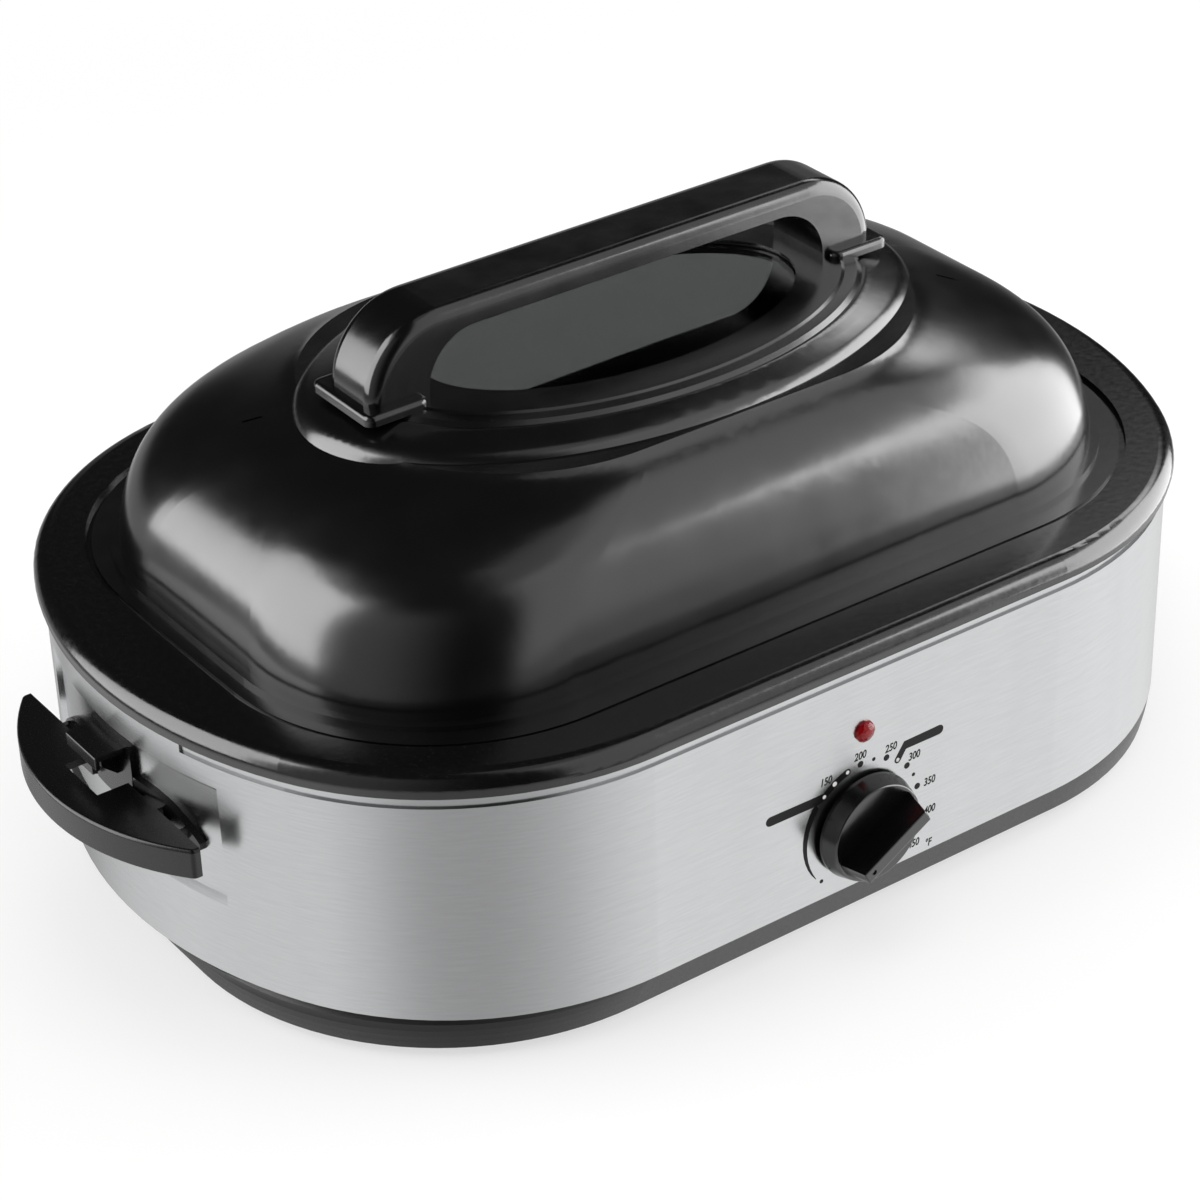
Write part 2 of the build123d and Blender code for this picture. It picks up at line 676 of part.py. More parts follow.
def wall_pad(y_span, z_span, thickness):
    """A pad that lies on the pocket's floor at the +X end."""
    with BuildPart() as pad:
        slab(SHELL, POCKET_DEPTH - thickness, *z_span)
        slab(SHELL, POCKET_DEPTH, *z_span, mode=Mode.SUBTRACT)
        block((0, GRIP_APEX), y_span, z_span, mode=Mode.INTERSECT)
    return pad.part


flange_pads = [wall_pad(span, FLANGE_Z, FLANGE_THICK) for span in (FLANGE_Y, (-FLANGE_Y[1], -FLANGE_Y[0]))]

with BuildPart() as flange_outline:
    with BuildSketch(Plane((INSIDE_X - END_CUT, MID_Y, 0), x_dir=(0, 1, 0), z_dir=(1, 0, 0))):
        with BuildLine():
            ThreePointArc(
                (-FLANGE_Y[1], FLANGE_Z[0] + FLANGE_TIP),
                (-FLANGE_BULGE[0], FLANGE_BULGE[1]),
                (-FLANGE_Y[0], FLANGE_Z[1]),
            )
            Polyline(
                (-FLANGE_Y[0], FLANGE_Z[1]),
                (-FLANGE_Y[0], FLANGE_Z[0]),
                (-FLANGE_Y[1], FLANGE_Z[0]),
                (-FLANGE_Y[1], FLANGE_Z[0] + FLANGE_TIP),
            )
        make_face()
        mirror(about=Plane.YZ)
    extrude(amount=FLANGE_REACH)

with BuildPart() as wall_side:
    slab(SHELL, POCKET_DEPTH, GRIP_TOP - GRIP_SKIRT - PAST, FLANGE_Z[1] + END_CUT)

with BuildPart() as grip_outside:
    crescent(0, GRIP_TOP - GRIP_SKIRT, GRIP_TOP)
    tips = grip_outside.edges().filter_by(Axis.Z).group_by(Axis.X)[-1]
    fillet(tips, GRIP_TIP_ROUND)
    top_edges = grip_outside.faces().sort_by(Axis.Z)[-1].edges()
    fillet(top_edges.sort_by(Axis.X)[1:], GRIP_EDGE)

with BuildPart() as side_handle:
    for pad in flange_pads:
        add(pad)
    add(flange_outline.part, mode=Mode.INTERSECT)
    add(grip_outside.part)
    crescent(GRIP_WALL, GRIP_TOP - GRIP_SKIRT, GRIP_TOP - GRIP_PLATE, mode=Mode.SUBTRACT)
    block(
        (GRIP_CHORD - PAST, GRIP_CHORD + GRIP_WALL),
        (-GRIP_TIP + END_CUT / 2, GRIP_TIP - END_CUT / 2),
        (GRIP_TOP - GRIP_SKIRT, GRIP_TOP - RIB_FOOT),
        mode=Mode.SUBTRACT,
    )
    for side in (-1, 1):
        for near, far, drop in GRIP_RIBS:
            block(
                (INSIDE_X, GRIP_CHORD + GRIP_WALL / 2),
                sorted((side * near, side * far)),
                (GRIP_TOP - RIB_FOOT, GRIP_TOP - drop),
            )
    add(wall_side.part, mode=Mode.SUBTRACT)
    block(
        (GRIP_CHORD - PAST, GRIP_NOTCH[1]),
        (-GRIP_NOTCH[0], GRIP_NOTCH[0]),
        (GRIP_TOP - GRIP_SKIRT, GRIP_TOP),
        mode=Mode.SUBTRACT,
    )
    for y, z in GRIP_SCREWS[:2]:
        peg((INSIDE_X, MID_Y + y, z), (1, 0, 0), M4 + FIT, GRIP_SCREW_DEPTH, mode=Mode.SUBTRACT)

with BuildPart() as rest_plate:
    block(
        (REST_START, REST_PLATE[0]),
        (-REST_PLATE[1], REST_PLATE[1]),
        (REST_PLATE_TOP - REST_THICK, REST_PLATE_TOP),
    )
    block(
        (REST_PLATE[0] - LIP_THICK, REST_PLATE[0]),
        (-REST_PLATE[1], REST_PLATE[1]),
        (LIP_Z, REST_PLATE_TOP - REST_THICK),
    )
    lip = rest_plate.faces().sort_by(Axis.X)[-1]
    fillet(lip.edges(), REST_EDGE)

with BuildPart() as lid_rest:
    add(wall_pad((-REST_HALF, REST_HALF), REST_Z, REST_PAD))
    add(rest_plate.part)
    with BuildSketch(Plane((0, MID_Y, 0), x_dir=(1, 0, 0), z_dir=(0, -1, 0))) as rib:
        with BuildLine():
            Polyline(RIB_PROFILE, close=True)
        make_face()
    for side in (-1, 1):
        with BuildSketch(Plane((0, MID_Y + side * RIB_Y, 0), x_dir=(1, 0, 0), z_dir=(0, -1, 0))):
            add(rib.sketch_local)
        extrude(amount=REST_THICK / 2, both=True)
    peg((REST_START, MID_Y, GRIP_SCREWS[2][1]), (1, 0, 0), *REST_BOSS)
    add(wall_side.part, mode=Mode.SUBTRACT)
    peg(
        (INSIDE_X, MID_Y, GRIP_SCREWS[2][1]),
        (1, 0, 0),
        M4 + FIT,
        REST_START - INSIDE_X + REST_BOSS[1] - REST_BLIND,
        mode=Mode.SUBTRACT,
    )

with BuildPart() as grip_screws:
    for y, z in GRIP_SCREWS:
        bow = y**2 / (2 * SHELL[3])
        face_x = SHELL[0] - POCKET_DEPTH - SHELL_SHEET - bow - GRIP_WASHER
        peg((face_x, MID_Y + y, z), (-1, 0, 0), M4_HEAD, GRIP_SCREW_HEAD)
        peg((face_x, MID_Y + y, z), (1, 0, 0), M4, GRIP_SCREW)

for name, turn in (("right", 0), ("left", 180)):
    centre = Axis((0, MID_Y, 0), (0, 0, 1))
    for piece, title in ((side_handle, "side_handle"), (lid_rest, "lid_rest")):
        turned = piece.part.rotate(centre, turn)
        turned.label = f"{title}_{name}"
        export_step(turned, f"parts/{turned.label}.step")

with BuildPart() as side_handle_screws:
    add(grip_screws.part)
    add(grip_screws.part.rotate(Axis((0, MID_Y, 0), (0, 0, 1)), 180))
save(side_handle_screws, "side_handle_screws")

# ---------------------------------------------------------------- roasting pan
PAN_DRAFT = 7.4
PAN_BASE = tuple(size - PAN_DRAFT for size in PAN_MOUTH)
PAN_BEND = 18.0
PAN_TOP = PAN_FLOOR + SHEET
RIM_ROLL = RIM_TOP - RIM_FOOT - FIT

with BuildPart() as pan_outside:
    taper(PAN_BASE, PAN_MOUTH, -SHEET, PAN_FLOOR, SEAT_TOP - SHEET)
    fillet(pan_outside.faces().sort_by(Axis.Z)[0].edges(), PAN_BEND)

with BuildPart() as pan_inside:
    taper(PAN_BASE, PAN_MOUTH, 0, PAN_TOP, SEAT_TOP)
    fillet(pan_inside.faces().sort_by(Axis.Z)[0].edges(), PAN_BEND - SHEET)

with BuildPart() as rim_inside:
    slab(RIM, SHEET, RIM_FOOT, RIM_TOP - SHEET)
    fillet(rim_inside.faces().sort_by(Axis.Z)[-1].edges(), RIM_ROLL - SHEET)

with BuildPart() as roasting_pan:
    slab(RIM, 0, RIM_FOOT, RIM_TOP)
    fillet(roasting_pan.faces().sort_by(Axis.Z)[-1].edges(), RIM_ROLL)
    add(rim_inside.part, mode=Mode.SUBTRACT)
    slab(SEAT, -SHEET, SEAT_TOP - SHEET, RIM_TOP - SHEET)
    slab(SEAT, 0, SEAT_TOP, RIM_TOP, mode=Mode.SUBTRACT)
    add(pan_outside.part)
    add(pan_inside.part, mode=Mode.SUBTRACT)
save(roasting_pan, "roasting_pan")

# ---------------------------------------------------------------- wire rack
HOOP_R = 2.4
ROD_R = 1.7
ROD_RAISE = 1.1  # the rods lie a little proud of the hoop
LEG_R = 2.0
RACK_Z = 54.0
RACK = (185.0, 106.0, 60.0)  # half length, half width, corner radius
ROD_X = [30.0 * step for step in range(6)]
RACK_LEG_X = 105.0
LOOP_HALF = 42.0
LOOP_TOP = 104.0
LOOP_OUT = 196.0
LOOP_BEND = 14.0

with BuildPart() as roasting_rack:
    with BuildLine(level(RACK_Z)) as hoop:
        FilletPolyline(
            (0, RACK[1]), (RACK[0], RACK[1]), (RACK[0], -RACK[1]), (0, -RACK[1]), radius=RACK[2]
        )
    with BuildSketch(Plane(hoop.line @ 0, z_dir=hoop.line % 0)):
        Circle(HOOP_R)
    sweep(path=hoop.line)
    for x in ROD_X:
        past_corner = max(0.0, x - RACK[0] + RACK[2])
        reach = RACK[1] - RACK[2] + sqrt(RACK[2] ** 2 - past_corner**2)
        peg((x, MID_Y - reach, RACK_Z + ROD_RAISE), (0, 1, 0), ROD_R, 2 * reach)
    for y in (-RACK[1], RACK[1]):
        upright(RACK_LEG_X, y, PAN_TOP + FIT, RACK_Z, LEG_R)
    with BuildLine() as loop:
        FilletPolyline(
            (RACK[0], MID_Y - LOOP_HALF, RACK_Z),
            (LOOP_OUT, MID_Y - LOOP_HALF, LOOP_TOP),
            (LOOP_OUT, MID_Y + LOOP_HALF, LOOP_TOP),
            (RACK[0], MID_Y + LOOP_HALF, RACK_Z),
            radius=LOOP_BEND,
        )
    with BuildSketch(Plane(loop.line @ 0, z_dir=loop.line % 0)):
        Circle(LEG_R)
    sweep(path=loop.line)
    mirror(about=Plane.YZ)
save(roasting_rack, "roasting_rack")

# ---------------------------------------------------------------- drawn lid
BRIM_FOOT = SEAT_TOP + FIT
BEAD_TOP = 148.2
SLITS = (((-162.0, 41.0), -38.0), ((162.0, -41.0), -38.0))
SLIT = (9.5, 1.5)
SLIT_REACH = 50.0  # the slits are cut from this far under the lid's top


def dome_section(inward, rise, skin):
    """One level of the dome: the ends slope in faster than the sides, the corners grow."""
    half_length = DOME_HALF_LENGTH - LENGTH_RATE * inward - skin
    half_width = DOME_HALF_WIDTH - inward - skin
    corner = min(DOME_CORNER + CORNER_RATE * inward - skin, half_width - DOME_FLAT)
    with BuildSketch(level(BEAD_TOP + rise - skin)) as section:
        RectangleRounded(2 * half_length, 2 * half_width, corner)
    return section.sketch


def boss_section(half_length, half_width, height, skin):
    """One level of the oval boss on top of the dome."""
    with BuildSketch(level(height - skin)) as section:
        Ellipse(half_length - skin, half_width - skin)
    return section.sketch


def lid_form(skin):
    """The solid under the lid's outer surface, or under its inner one with a skin's thickness."""
    with BuildPart() as form:
        slab(BEAD, skin, BRIM_FOOT, BEAD_TOP - skin)
        loft([dome_section(*step, skin) for step in DOME_PROFILE])
        loft([boss_section(*step, skin) for step in BOSS_SWELL])
        loft([boss_section(*step, skin) for step in BOSS_STEP], ruled=True)
    return form.part


lid_outside = lid_form(0)
lid_inside = lid_form(SHEET)

with BuildPart() as lid_shell:
    slab(BRIM, 0, BRIM_FOOT, BRIM_FOOT + SHEET)
    add(lid_outside)
    add(lid_inside, mode=Mode.SUBTRACT)
    with BuildSketch(level(LID_TOP - SHEET - PAST)):
        Ellipse(*WINDOW)
        with Locations((-HANDLE_SCREW_X, 0), (HANDLE_SCREW_X, 0)):
            Circle(HANDLE_HOLE)
    extrude(amount=SHEET + 2 * PAST, mode=Mode.SUBTRACT)
    for (x, y), angle in SLITS:
        with BuildSketch(level(LID_TOP - SLIT_REACH)):
            with Locations((x, y)):
                SlotOverall(*SLIT, rotation=angle)
        extrude(amount=SLIT_REACH + PAST, mode=Mode.SUBTRACT)
save(lid_shell, "lid_shell")

# ---------------------------------------------------------------- window
CEILING = LID_TOP - SHEET  # underside of the lid's flat top
GLASS_TOP = CEILING - GASKET_THICK
GLASS_FOOT = GLASS_TOP - GLASS_THICK
RETAINER_FOOT = GLASS_FOOT - SHEET
OPENING = (98.0, 55.0)
GLASS_CHAMFER = 0.8
GASKET_LAP = 0.4  # the gasket stays this far outside the window's edge
RETAINER = (1.2, 2.4)  # inner and outer face of its wall, outside the glass


def oval_ring(outer, inner, low, high, mode=Mode.ADD):
    """An upright elliptical ring."""
    with BuildSketch(level(low)) as ring:
        Ellipse(*outer)
        Ellipse(*inner, mode=Mode.SUBTRACT)
    extrude(ring.sketch, amount=high - low, mode=mode)


def grown(ellipse, step):
    """An ellipse's half axes, both larger by one step."""
    return (ellipse[0] + step, ellipse[1] + step)


with BuildPart() as window_glass:
    with BuildSketch(level(GLASS_FOOT)):
        Ellipse(*GLASS)
    extrude(amount=GLASS_THICK)
    chamfer(window_glass.faces().sort_by(Axis.Z)[-1].edges(), GLASS_CHAMFER)
save(window_glass, "window_glass")

with BuildPart() as window_gasket:
    oval_ring(GLASS, grown(WINDOW, GASKET_LAP), GLASS_TOP, CEILING)
save(window_gasket, "window_gasket")

with BuildPart() as window_retainer:
    oval_ring(grown(GLASS, RETAINER[1]), OPENING, RETAINER_FOOT, GLASS_FOOT)
    oval_ring(grown(GLASS, RETAINER[1]), grown(GLASS, RETAINER[0]), GLASS_FOOT, CEILING)
save(window_retainer, "window_retainer")

# ---------------------------------------------------------------- lid handle
LEG_FOOT = 215.0
BAR_ROUND = 6.5
PLINTH = (110.5, 142.0)
PLINTH_HALF = 23.5
PLINTH_Z = (228.6, 233.4)
PLINTH_CORNER = 4.5
PLINTH_ROUND = 2.2
WASHER = (4.6, 1.0)
SCREW_HEAD = 3.0
SCREW_REACH = 20.0
SCREW_SHORT = 2.0

with BuildPart() as plinths:
    for side in (-1, 1):
        with BuildSketch(level(PLINTH_Z[0])) as plinth:
            with Locations((side * sum(PLINTH) / 2, 0)):
                RectangleRounded(PLINTH[1] - PLINTH[0], 2 * PLINTH_HALF, PLINTH_CORNER)
        extrude(plinth.sketch, amount=PLINTH_Z[1] - PLINTH_Z[0])
    fillet(plinths.faces().group_by(Axis.Z)[-1].edges(), PLINTH_ROUND)

with BuildPart() as lid_handle:
    with BuildSketch(Plane((0, MID_Y, 0), x_dir=(1, 0, 0), z_dir=(0, -1, 0))) as arch:
        with Locations((0, (LEG_FOOT + BAR_TOP) / 2)):
            Rectangle(2 * LEG_OUT, BAR_TOP - LEG_FOOT)
        fillet(arch.vertices().group_by(Axis.Y)[-1], ELBOW)
    extrude(amount=BAR_HALF, both=True)
    fillet(
        lid_handle.faces().filter_by(Axis.Y).edges().filter_by_position(Axis.Z, LEG_FOOT + PAST, BAR_TOP),
        BAR_ROUND,
    )
    with BuildSketch(Plane((0, MID_Y, 0), x_dir=(1, 0, 0), z_dir=(0, -1, 0))) as daylight:
        with Locations((0, (LEG_FOOT + BAR_FOOT) / 2)):
            Rectangle(2 * LEG_IN, BAR_FOOT - LEG_FOOT)
        fillet(daylight.vertices().group_by(Axis.Y)[-1], ARCH)
    extrude(amount=BAR_HALF + PAST, both=True, mode=Mode.SUBTRACT)
    add(plinths.part)
    add(lid_outside, mode=Mode.SUBTRACT)
    for side in (-1, 1):
        x = side * HANDLE_SCREW_X
        upright(x, 0, LID_TOP - PAST, LID_TOP + SCREW_REACH, M4 + FIT, mode=Mode.SUBTRACT)
save(lid_handle, "lid_handle")

with BuildPart() as lid_handle_washers:
    with BuildSketch(level(CEILING - WASHER[1])):
        with Locations((-HANDLE_SCREW_X, 0), (HANDLE_SCREW_X, 0)):
            Circle(WASHER[0])
            Circle(M4_HOLE, mode=Mode.SUBTRACT)
    extrude(amount=WASHER[1])
save(lid_handle_washers, "lid_handle_washers")

with BuildPart() as lid_handle_screws:
    for side in (-1, 1):
        x = side * HANDLE_SCREW_X
        head_top = CEILING - WASHER[1]
        upright(x, 0, head_top - SCREW_HEAD, head_top, M4_HEAD)
        upright(x, 0, head_top, LID_TOP + SCREW_REACH - SCREW_SHORT, M4)
save(lid_handle_screws, "lid_handle_screws")
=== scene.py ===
"""Looks of an electric roaster oven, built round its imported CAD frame.

Every CAD piece keeps its shape and gets its real finish.  Blender adds the printed dial, the
cross-recess screws with their threads, the cut lamp lens, the knob's marks and the rack's welds.
Lengths are in metres unless a name ends in _MM.
"""

import json
from math import atan, cos, pi, radians, sin, sqrt

import bmesh
import bpy
from bpy.props import FloatProperty, FloatVectorProperty, IntProperty, PointerProperty
from mathutils import Matrix, Vector


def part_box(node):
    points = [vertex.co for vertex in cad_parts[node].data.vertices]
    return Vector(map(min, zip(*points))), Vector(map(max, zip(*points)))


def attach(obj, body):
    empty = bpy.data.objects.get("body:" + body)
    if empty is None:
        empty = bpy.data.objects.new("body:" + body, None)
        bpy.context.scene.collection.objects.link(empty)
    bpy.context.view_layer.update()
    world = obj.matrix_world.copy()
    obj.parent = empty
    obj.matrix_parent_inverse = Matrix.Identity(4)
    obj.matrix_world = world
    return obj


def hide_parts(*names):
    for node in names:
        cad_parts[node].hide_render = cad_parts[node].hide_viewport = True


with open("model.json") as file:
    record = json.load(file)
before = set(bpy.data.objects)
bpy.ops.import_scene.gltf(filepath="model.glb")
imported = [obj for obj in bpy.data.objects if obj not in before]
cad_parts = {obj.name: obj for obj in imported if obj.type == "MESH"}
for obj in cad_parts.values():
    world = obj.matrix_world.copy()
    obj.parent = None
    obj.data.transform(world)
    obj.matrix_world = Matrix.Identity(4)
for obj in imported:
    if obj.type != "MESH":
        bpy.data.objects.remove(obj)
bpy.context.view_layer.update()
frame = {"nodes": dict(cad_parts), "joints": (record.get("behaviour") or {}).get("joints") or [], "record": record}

bl_info = {
    "name": "Roaster Oven Finisher",
    "version": (1, 0, 0),
    "blender": (4, 5, 0),
    "location": "3D View > Sidebar > Roaster",
    "description": "Finishes, dial print, fasteners and studio for the roaster oven",
    "category": "Object",
}

MM = 0.001
PANEL_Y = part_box("outer_shell")[0].y
KNOB_AXIS = Vector(next(joint for joint in frame["joints"] if joint["name"] == "knob_turn")["pos_m"])


# ---------------------------------------------------------------- small tools
def linear(colour):
    """A colour written as an sRGB hex value, as the linear RGBA that Blender's sockets take."""
    channels = [int(colour[place : place + 2], 16) / 255 for place in (1, 3, 5)]
    return [c / 12.92 if c <= 0.04045 else ((c + 0.055) / 1.055) ** 2.4 for c in channels] + [1.0]


def add_node(tree, kind, settings=None, links=None):
    """Add a node.

    Settings name a property or an input socket.  Links join an input to an output, or to the first
    output of a node.
    """
    node = tree.nodes.new(kind)
    for name, value in (settings or {}).items():
        if isinstance(name, str) and hasattr(node, name):
            setattr(node, name, value)
        else:
            node.inputs[name].default_value = value
    for name, source in (links or {}).items():
        output = source.outputs[0] if isinstance(source, bpy.types.Node) else source
        tree.links.new(output, node.inputs[name])
    return node


def finished_mesh(name, shape):
    """The mesh of a bmesh, which is used up."""
    mesh = bpy.data.meshes.new(name)
    shape.to_mesh(mesh)
    shape.free()
    return mesh


def new_material(name, settings):
    """A material with one Principled shader; returns it, its tree and the shader."""
    material = bpy.data.materials.new(name)
    material.use_nodes = True
    tree = material.node_tree
    tree.nodes.clear()
    shader = add_node(tree, "ShaderNodeBsdfPrincipled", settings)
    add_node(tree, "ShaderNodeOutputMaterial", links={"Surface": shader})
    return material, tree, shader


def mottle(tree, size, low=0.0, high=1.0, detail=2.0):
    """Soft blotches of a real size, or of one size along each axis, as a value from low to high."""
    sizes = size if isinstance(size, tuple) else (size,) * 3
    place = add_node(tree, "ShaderNodeTexCoord")
    spot = add_node(
        tree,
        "ShaderNodeMapping",
        {"Scale": [1 / length for length in sizes]},
        {"Vector": place.outputs["Object"]},
    )
    blotches = add_node(tree, "ShaderNodeTexNoise", {"Scale": 1.0, "Detail": detail}, {"Vector": spot})
    level = add_node(
        tree,
        "ShaderNodeMapRange",
        {"From Min": 0.3, "From Max": 0.7, "To Min": low, "To Max": high},
        {"Value": blotches},
    )
    return level.outputs[0]


def dress(tree, shader, shades=None, dullness=None, relief=None):
    """Vary a finish over the surface, from patterns between 0 and 1.

    Shades is a pattern and the two colours it drifts between, dullness is a pattern of roughness,
    and relief is a pattern and the height it really has.
    """
    if shades:
        pattern, first, second = shades
        drift = add_node(
            tree, "ShaderNodeMix", {"data_type": "RGBA", 6: linear(first), 7: linear(second)}, {0: pattern}
        )
        tree.links.new(drift.outputs[2], shader.inputs["Base Color"])
    if dullness:
        tree.links.new(dullness, shader.inputs["Roughness"])
    if relief:
        pattern, height = relief
        bump = add_node(tree, "ShaderNodeBump", {"Distance": height}, {"Height": pattern})
        tree.links.new(bump.outputs[0], shader.inputs["Normal"])


# ---------------------------------------------------------------- finishes
recipes = {}
made_finishes = {}


def recipe(name, settings, *slots):
    """Keeps a material's name and settings, and the function that varies it, for record slots."""

    def keep(vary):
        recipes.update({slot: (name, settings, vary) for slot in slots})
        return vary

    return keep


@recipe(
    "brushed_stainless",
    {"Metallic": 1.0, "Anisotropic": 0.5, "Anisotropic Rotation": 0.25},
    "stainless_wrap",
)
def brushed_stainless(tree, shader):
    """Stainless sheet, belt brushed along its length: fine level streaks, highlights drawn upright."""
    # The real scratches are about 0.1 mm wide; they are drawn 0.7 mm wide so that they show.
    grain = mottle(tree, (0.012, 0.012, 0.0007), detail=3.0)
    # The belt leaves soft upright bands about 25 mm apart, where it dwelt.
    bands = mottle(tree, (0.025, 0.025, 0.5), 0.22, 0.26, detail=1.0)
    dress(tree, shader, (grain, "#c4c5c6", "#c9cacb"), bands, (grain, 0.000002))
    tangent = add_node(tree, "ShaderNodeTangent", {"direction_type": "RADIAL", "axis": "Z"})
    tree.links.new(tangent.outputs[0], shader.inputs["Tangent"])


@recipe("satin_black_enamel", {"Base Color": linear("#060607"), "IOR": 2.0}, "lid_enamel")
def satin_enamel(tree, shader):
    """Black enamel sprayed on a drawn steel lid: satin, with a long faint orange peel."""
    # Its index is above the usual 1.5, so that the soft boxes show as strongly as they really do.
    # The orange peel is about 4 mm from crest to crest.
    peel = mottle(tree, 0.004, detail=1.0)
    dress(tree, shader, dullness=mottle(tree, 0.02, 0.18, 0.22), relief=(peel, 0.000006))


@recipe("porcelain_enamel", {"IOR": 1.8}, "black_enamel")
def gloss_enamel(tree, shader):
    """Porcelain enamel fired on the pan and well: glassy black, with orange peel and a fine sparkle."""
    # Grey specks in the frit, about 0.6 mm across and 2.5 mm apart.
    place = add_node(tree, "ShaderNodeTexCoord")
    frit = add_node(tree, "ShaderNodeTexVoronoi", {"Scale": 400.0}, {"Vector": place.outputs["Object"]})
    speck = add_node(tree, "ShaderNodeMapRange", {"From Min": 0.1, "From Max": 0.16}, {"Value": frit})
    # Orange peel, about 4 mm from crest to crest.
    peel = mottle(tree, 0.004, detail=1.0)
    shades = (speck.outputs[0], "#1d1d1f", "#09090a")
    dress(tree, shader, shades, mottle(tree, 0.003, 0.13, 0.2), (peel, 0.00001))


@recipe("black_stove_paint", {"Base Color": linear("#1a1a1b"), "IOR": 1.5}, "black_steel_tray")
def painted_tray(tree, shader):
    """Black stove paint on the sheet steel tray: satin with a fine dry grain."""
    dress(tree, shader, dullness=mottle(tree, 0.0009, 0.34, 0.46), relief=(mottle(tree, 0.0009), 0.00002))


@recipe("black_phenolic", {"Base Color": linear("#080809"), "IOR": 1.8}, "handle_plastic", "knob_plastic")
def polished_phenolic(tree, shader):
    """Compression moulded phenolic: polished black, slightly waved, with dull patches from handling."""
    # Handling marks, about 20 mm across, and moulding waves of about 6 mm.
    handled = mottle(tree, 0.02, 0.13, 0.21, detail=4.0)
    dress(tree, shader, dullness=handled, relief=(mottle(tree, 0.006, detail=1.0), 0.000008))


@recipe("black_glass_filled_nylon", {"Base Color": linear("#0a0a0a"), "IOR": 1.6}, "black_plastic")
def moulded_nylon(tree, shader):
    """Glass-filled nylon, injection moulded in a spark-eroded tool: black with a fine dry texture."""
    # Spark texture, about 0.7 mm between pits.
    dress(tree, shader, dullness=mottle(tree, 0.0007, 0.22, 0.28), relief=(mottle(tree, 0.0007), 0.000004))


@recipe("nitrile_rubber", {"IOR": 1.52, "Roughness": 0.75}, "rubber")
def moulded_rubber(tree, shader):
    """Nitrile rubber feet: dull black with a grey bloom."""
    bloom = mottle(tree, 0.004, detail=4.0)
    dress(tree, shader, (bloom, "#1c1c1c", "#2b2b2a"), relief=(bloom, 0.00004))


@recipe("zinc_plated_steel", {"Metallic": 1.0}, "zinc_steel")
def zinc_plate(tree, shader):
    """Zinc plated steel: pale metal with a faint yellow cloud and spangle."""
    cloud = mottle(tree, 0.006, detail=3.0)
    dress(tree, shader, (cloud, "#b9b8b2", "#cfcdc2"), mottle(tree, 0.003, 0.28, 0.44))


@recipe("chrome_plated_wire", {"Metallic": 1.0, "Base Color": linear("#d9dadb")}, "chrome_wire")
def chrome_plate(tree, shader):
    """Nickel chrome on drawn wire: bright, with faint drawing lines under the plate."""
    drawn = mottle(tree, 0.003, 0.07, 0.16, detail=3.0)
    dress(tree, shader, dullness=drawn, relief=(mottle(tree, 0.003), 0.00001))


@recipe("mica_board", {"IOR": 1.56, "Roughness": 0.5}, "mica_band")
def mica_board(tree, shader):
    """Mica paper round a resistance band: tan, with flakes about 4 mm across."""
    place = add_node(tree, "ShaderNodeTexCoord")
    flakes = add_node(tree, "ShaderNodeTexVoronoi", {"Scale": 250.0}, {"Vector": place.outputs["Object"]})
    dress(tree, shader, (flakes.outputs[0], "#a88f63", "#c9b488"), relief=(flakes.outputs[0], 0.0001))


@recipe("glass_fibre_blanket", {"IOR": 1.5, "Roughness": 0.9, "Sheen Weight": 0.3}, "glass_wool")
def glass_wool(tree, shader):
    """Needled glass fibre blanket: pale cream, matted fibres about 1 mm apart."""
    fibres = mottle(tree, (0.008, 0.008, 0.001), detail=5.0)
    dress(tree, shader, (fibres, "#c9c1a4", "#efe9d6"), relief=(fibres, 0.0006))


@recipe("steatite_ceramic", {"IOR": 1.57, "Roughness": 0.55}, "ceramic")
def steatite(tree, shader):
    """Steatite ceramic thermostat body: fired off-white, barely glossy."""
    body = mottle(tree, 0.002, detail=4.0)
    dress(tree, shader, (body, "#d9d3c4", "#ebe6da"), relief=(body, 0.00003))


@recipe("glass_fibre_sleeving", {"IOR": 1.5, "Roughness": 0.8}, "wire_sleeve")
def braided_sleeve(tree, shader):
    """Glass fibre sleeving on the heater leads: off-white braid, about 0.8 mm a crossing."""
    braid = mottle(tree, 0.0008, detail=1.0)
    dress(tree, shader, (braid, "#b9b2a0", "#e6e0d0"), relief=(braid, 0.0002))


@recipe(
    "red_polycarbonate",
    {"Base Color": linear("#9c0410"), "IOR": 1.585, "Specular IOR Level": 0.2, "Transmission Weight": 0.35},
    "red_lens",
)
def red_polycarbonate(tree, shader):
    """Clear red polycarbonate lens: light passes in and comes back deep red."""
    # A low specular level keeps its many small facets from mirroring the studio white.
    dress(tree, shader, dullness=mottle(tree, 0.003, 0.08, 0.16))


@recipe(
    "soda_glass_bulb",
    {"Base Color": linear("#f6d9c0"), "IOR": 1.51, "Roughness": 0.02, "Transmission Weight": 1.0},
    "lamp_glass",
)
def neon_glass(tree, shader):
    """Small soda glass neon bulb, clear with a warm tint."""
    dress(tree, shader, relief=(mottle(tree, 0.002), 0.00002))


@recipe(
    "toughened_glass",
    {"Base Color": linear("#e3e8e5"), "IOR": 1.52, "Roughness": 0.0, "Transmission Weight": 1.0},
    "window_glass",
)
def toughened_glass(tree, shader):
    """Toughened soda-lime window: clear with a grey-green edge and the faintest roller wave."""
    # Roller wave from the toughening furnace, 60 mm from crest to crest.
    dress(tree, shader, relief=(mottle(tree, 0.06, detail=0.0), 0.00002))


@recipe("silicone_rubber", {"IOR": 1.41, "Roughness": 0.5}, "silicone")
def silicone_rubber(tree, shader):
    """Black silicone gasket: soft sheen, slightly dusty."""
    dress(tree, shader, (mottle(tree, 0.003, detail=3.0), "#131313", "#202020"))


THIN_INK = 0.85  # brightness of an ink where its film is thinnest, as a share of its colour


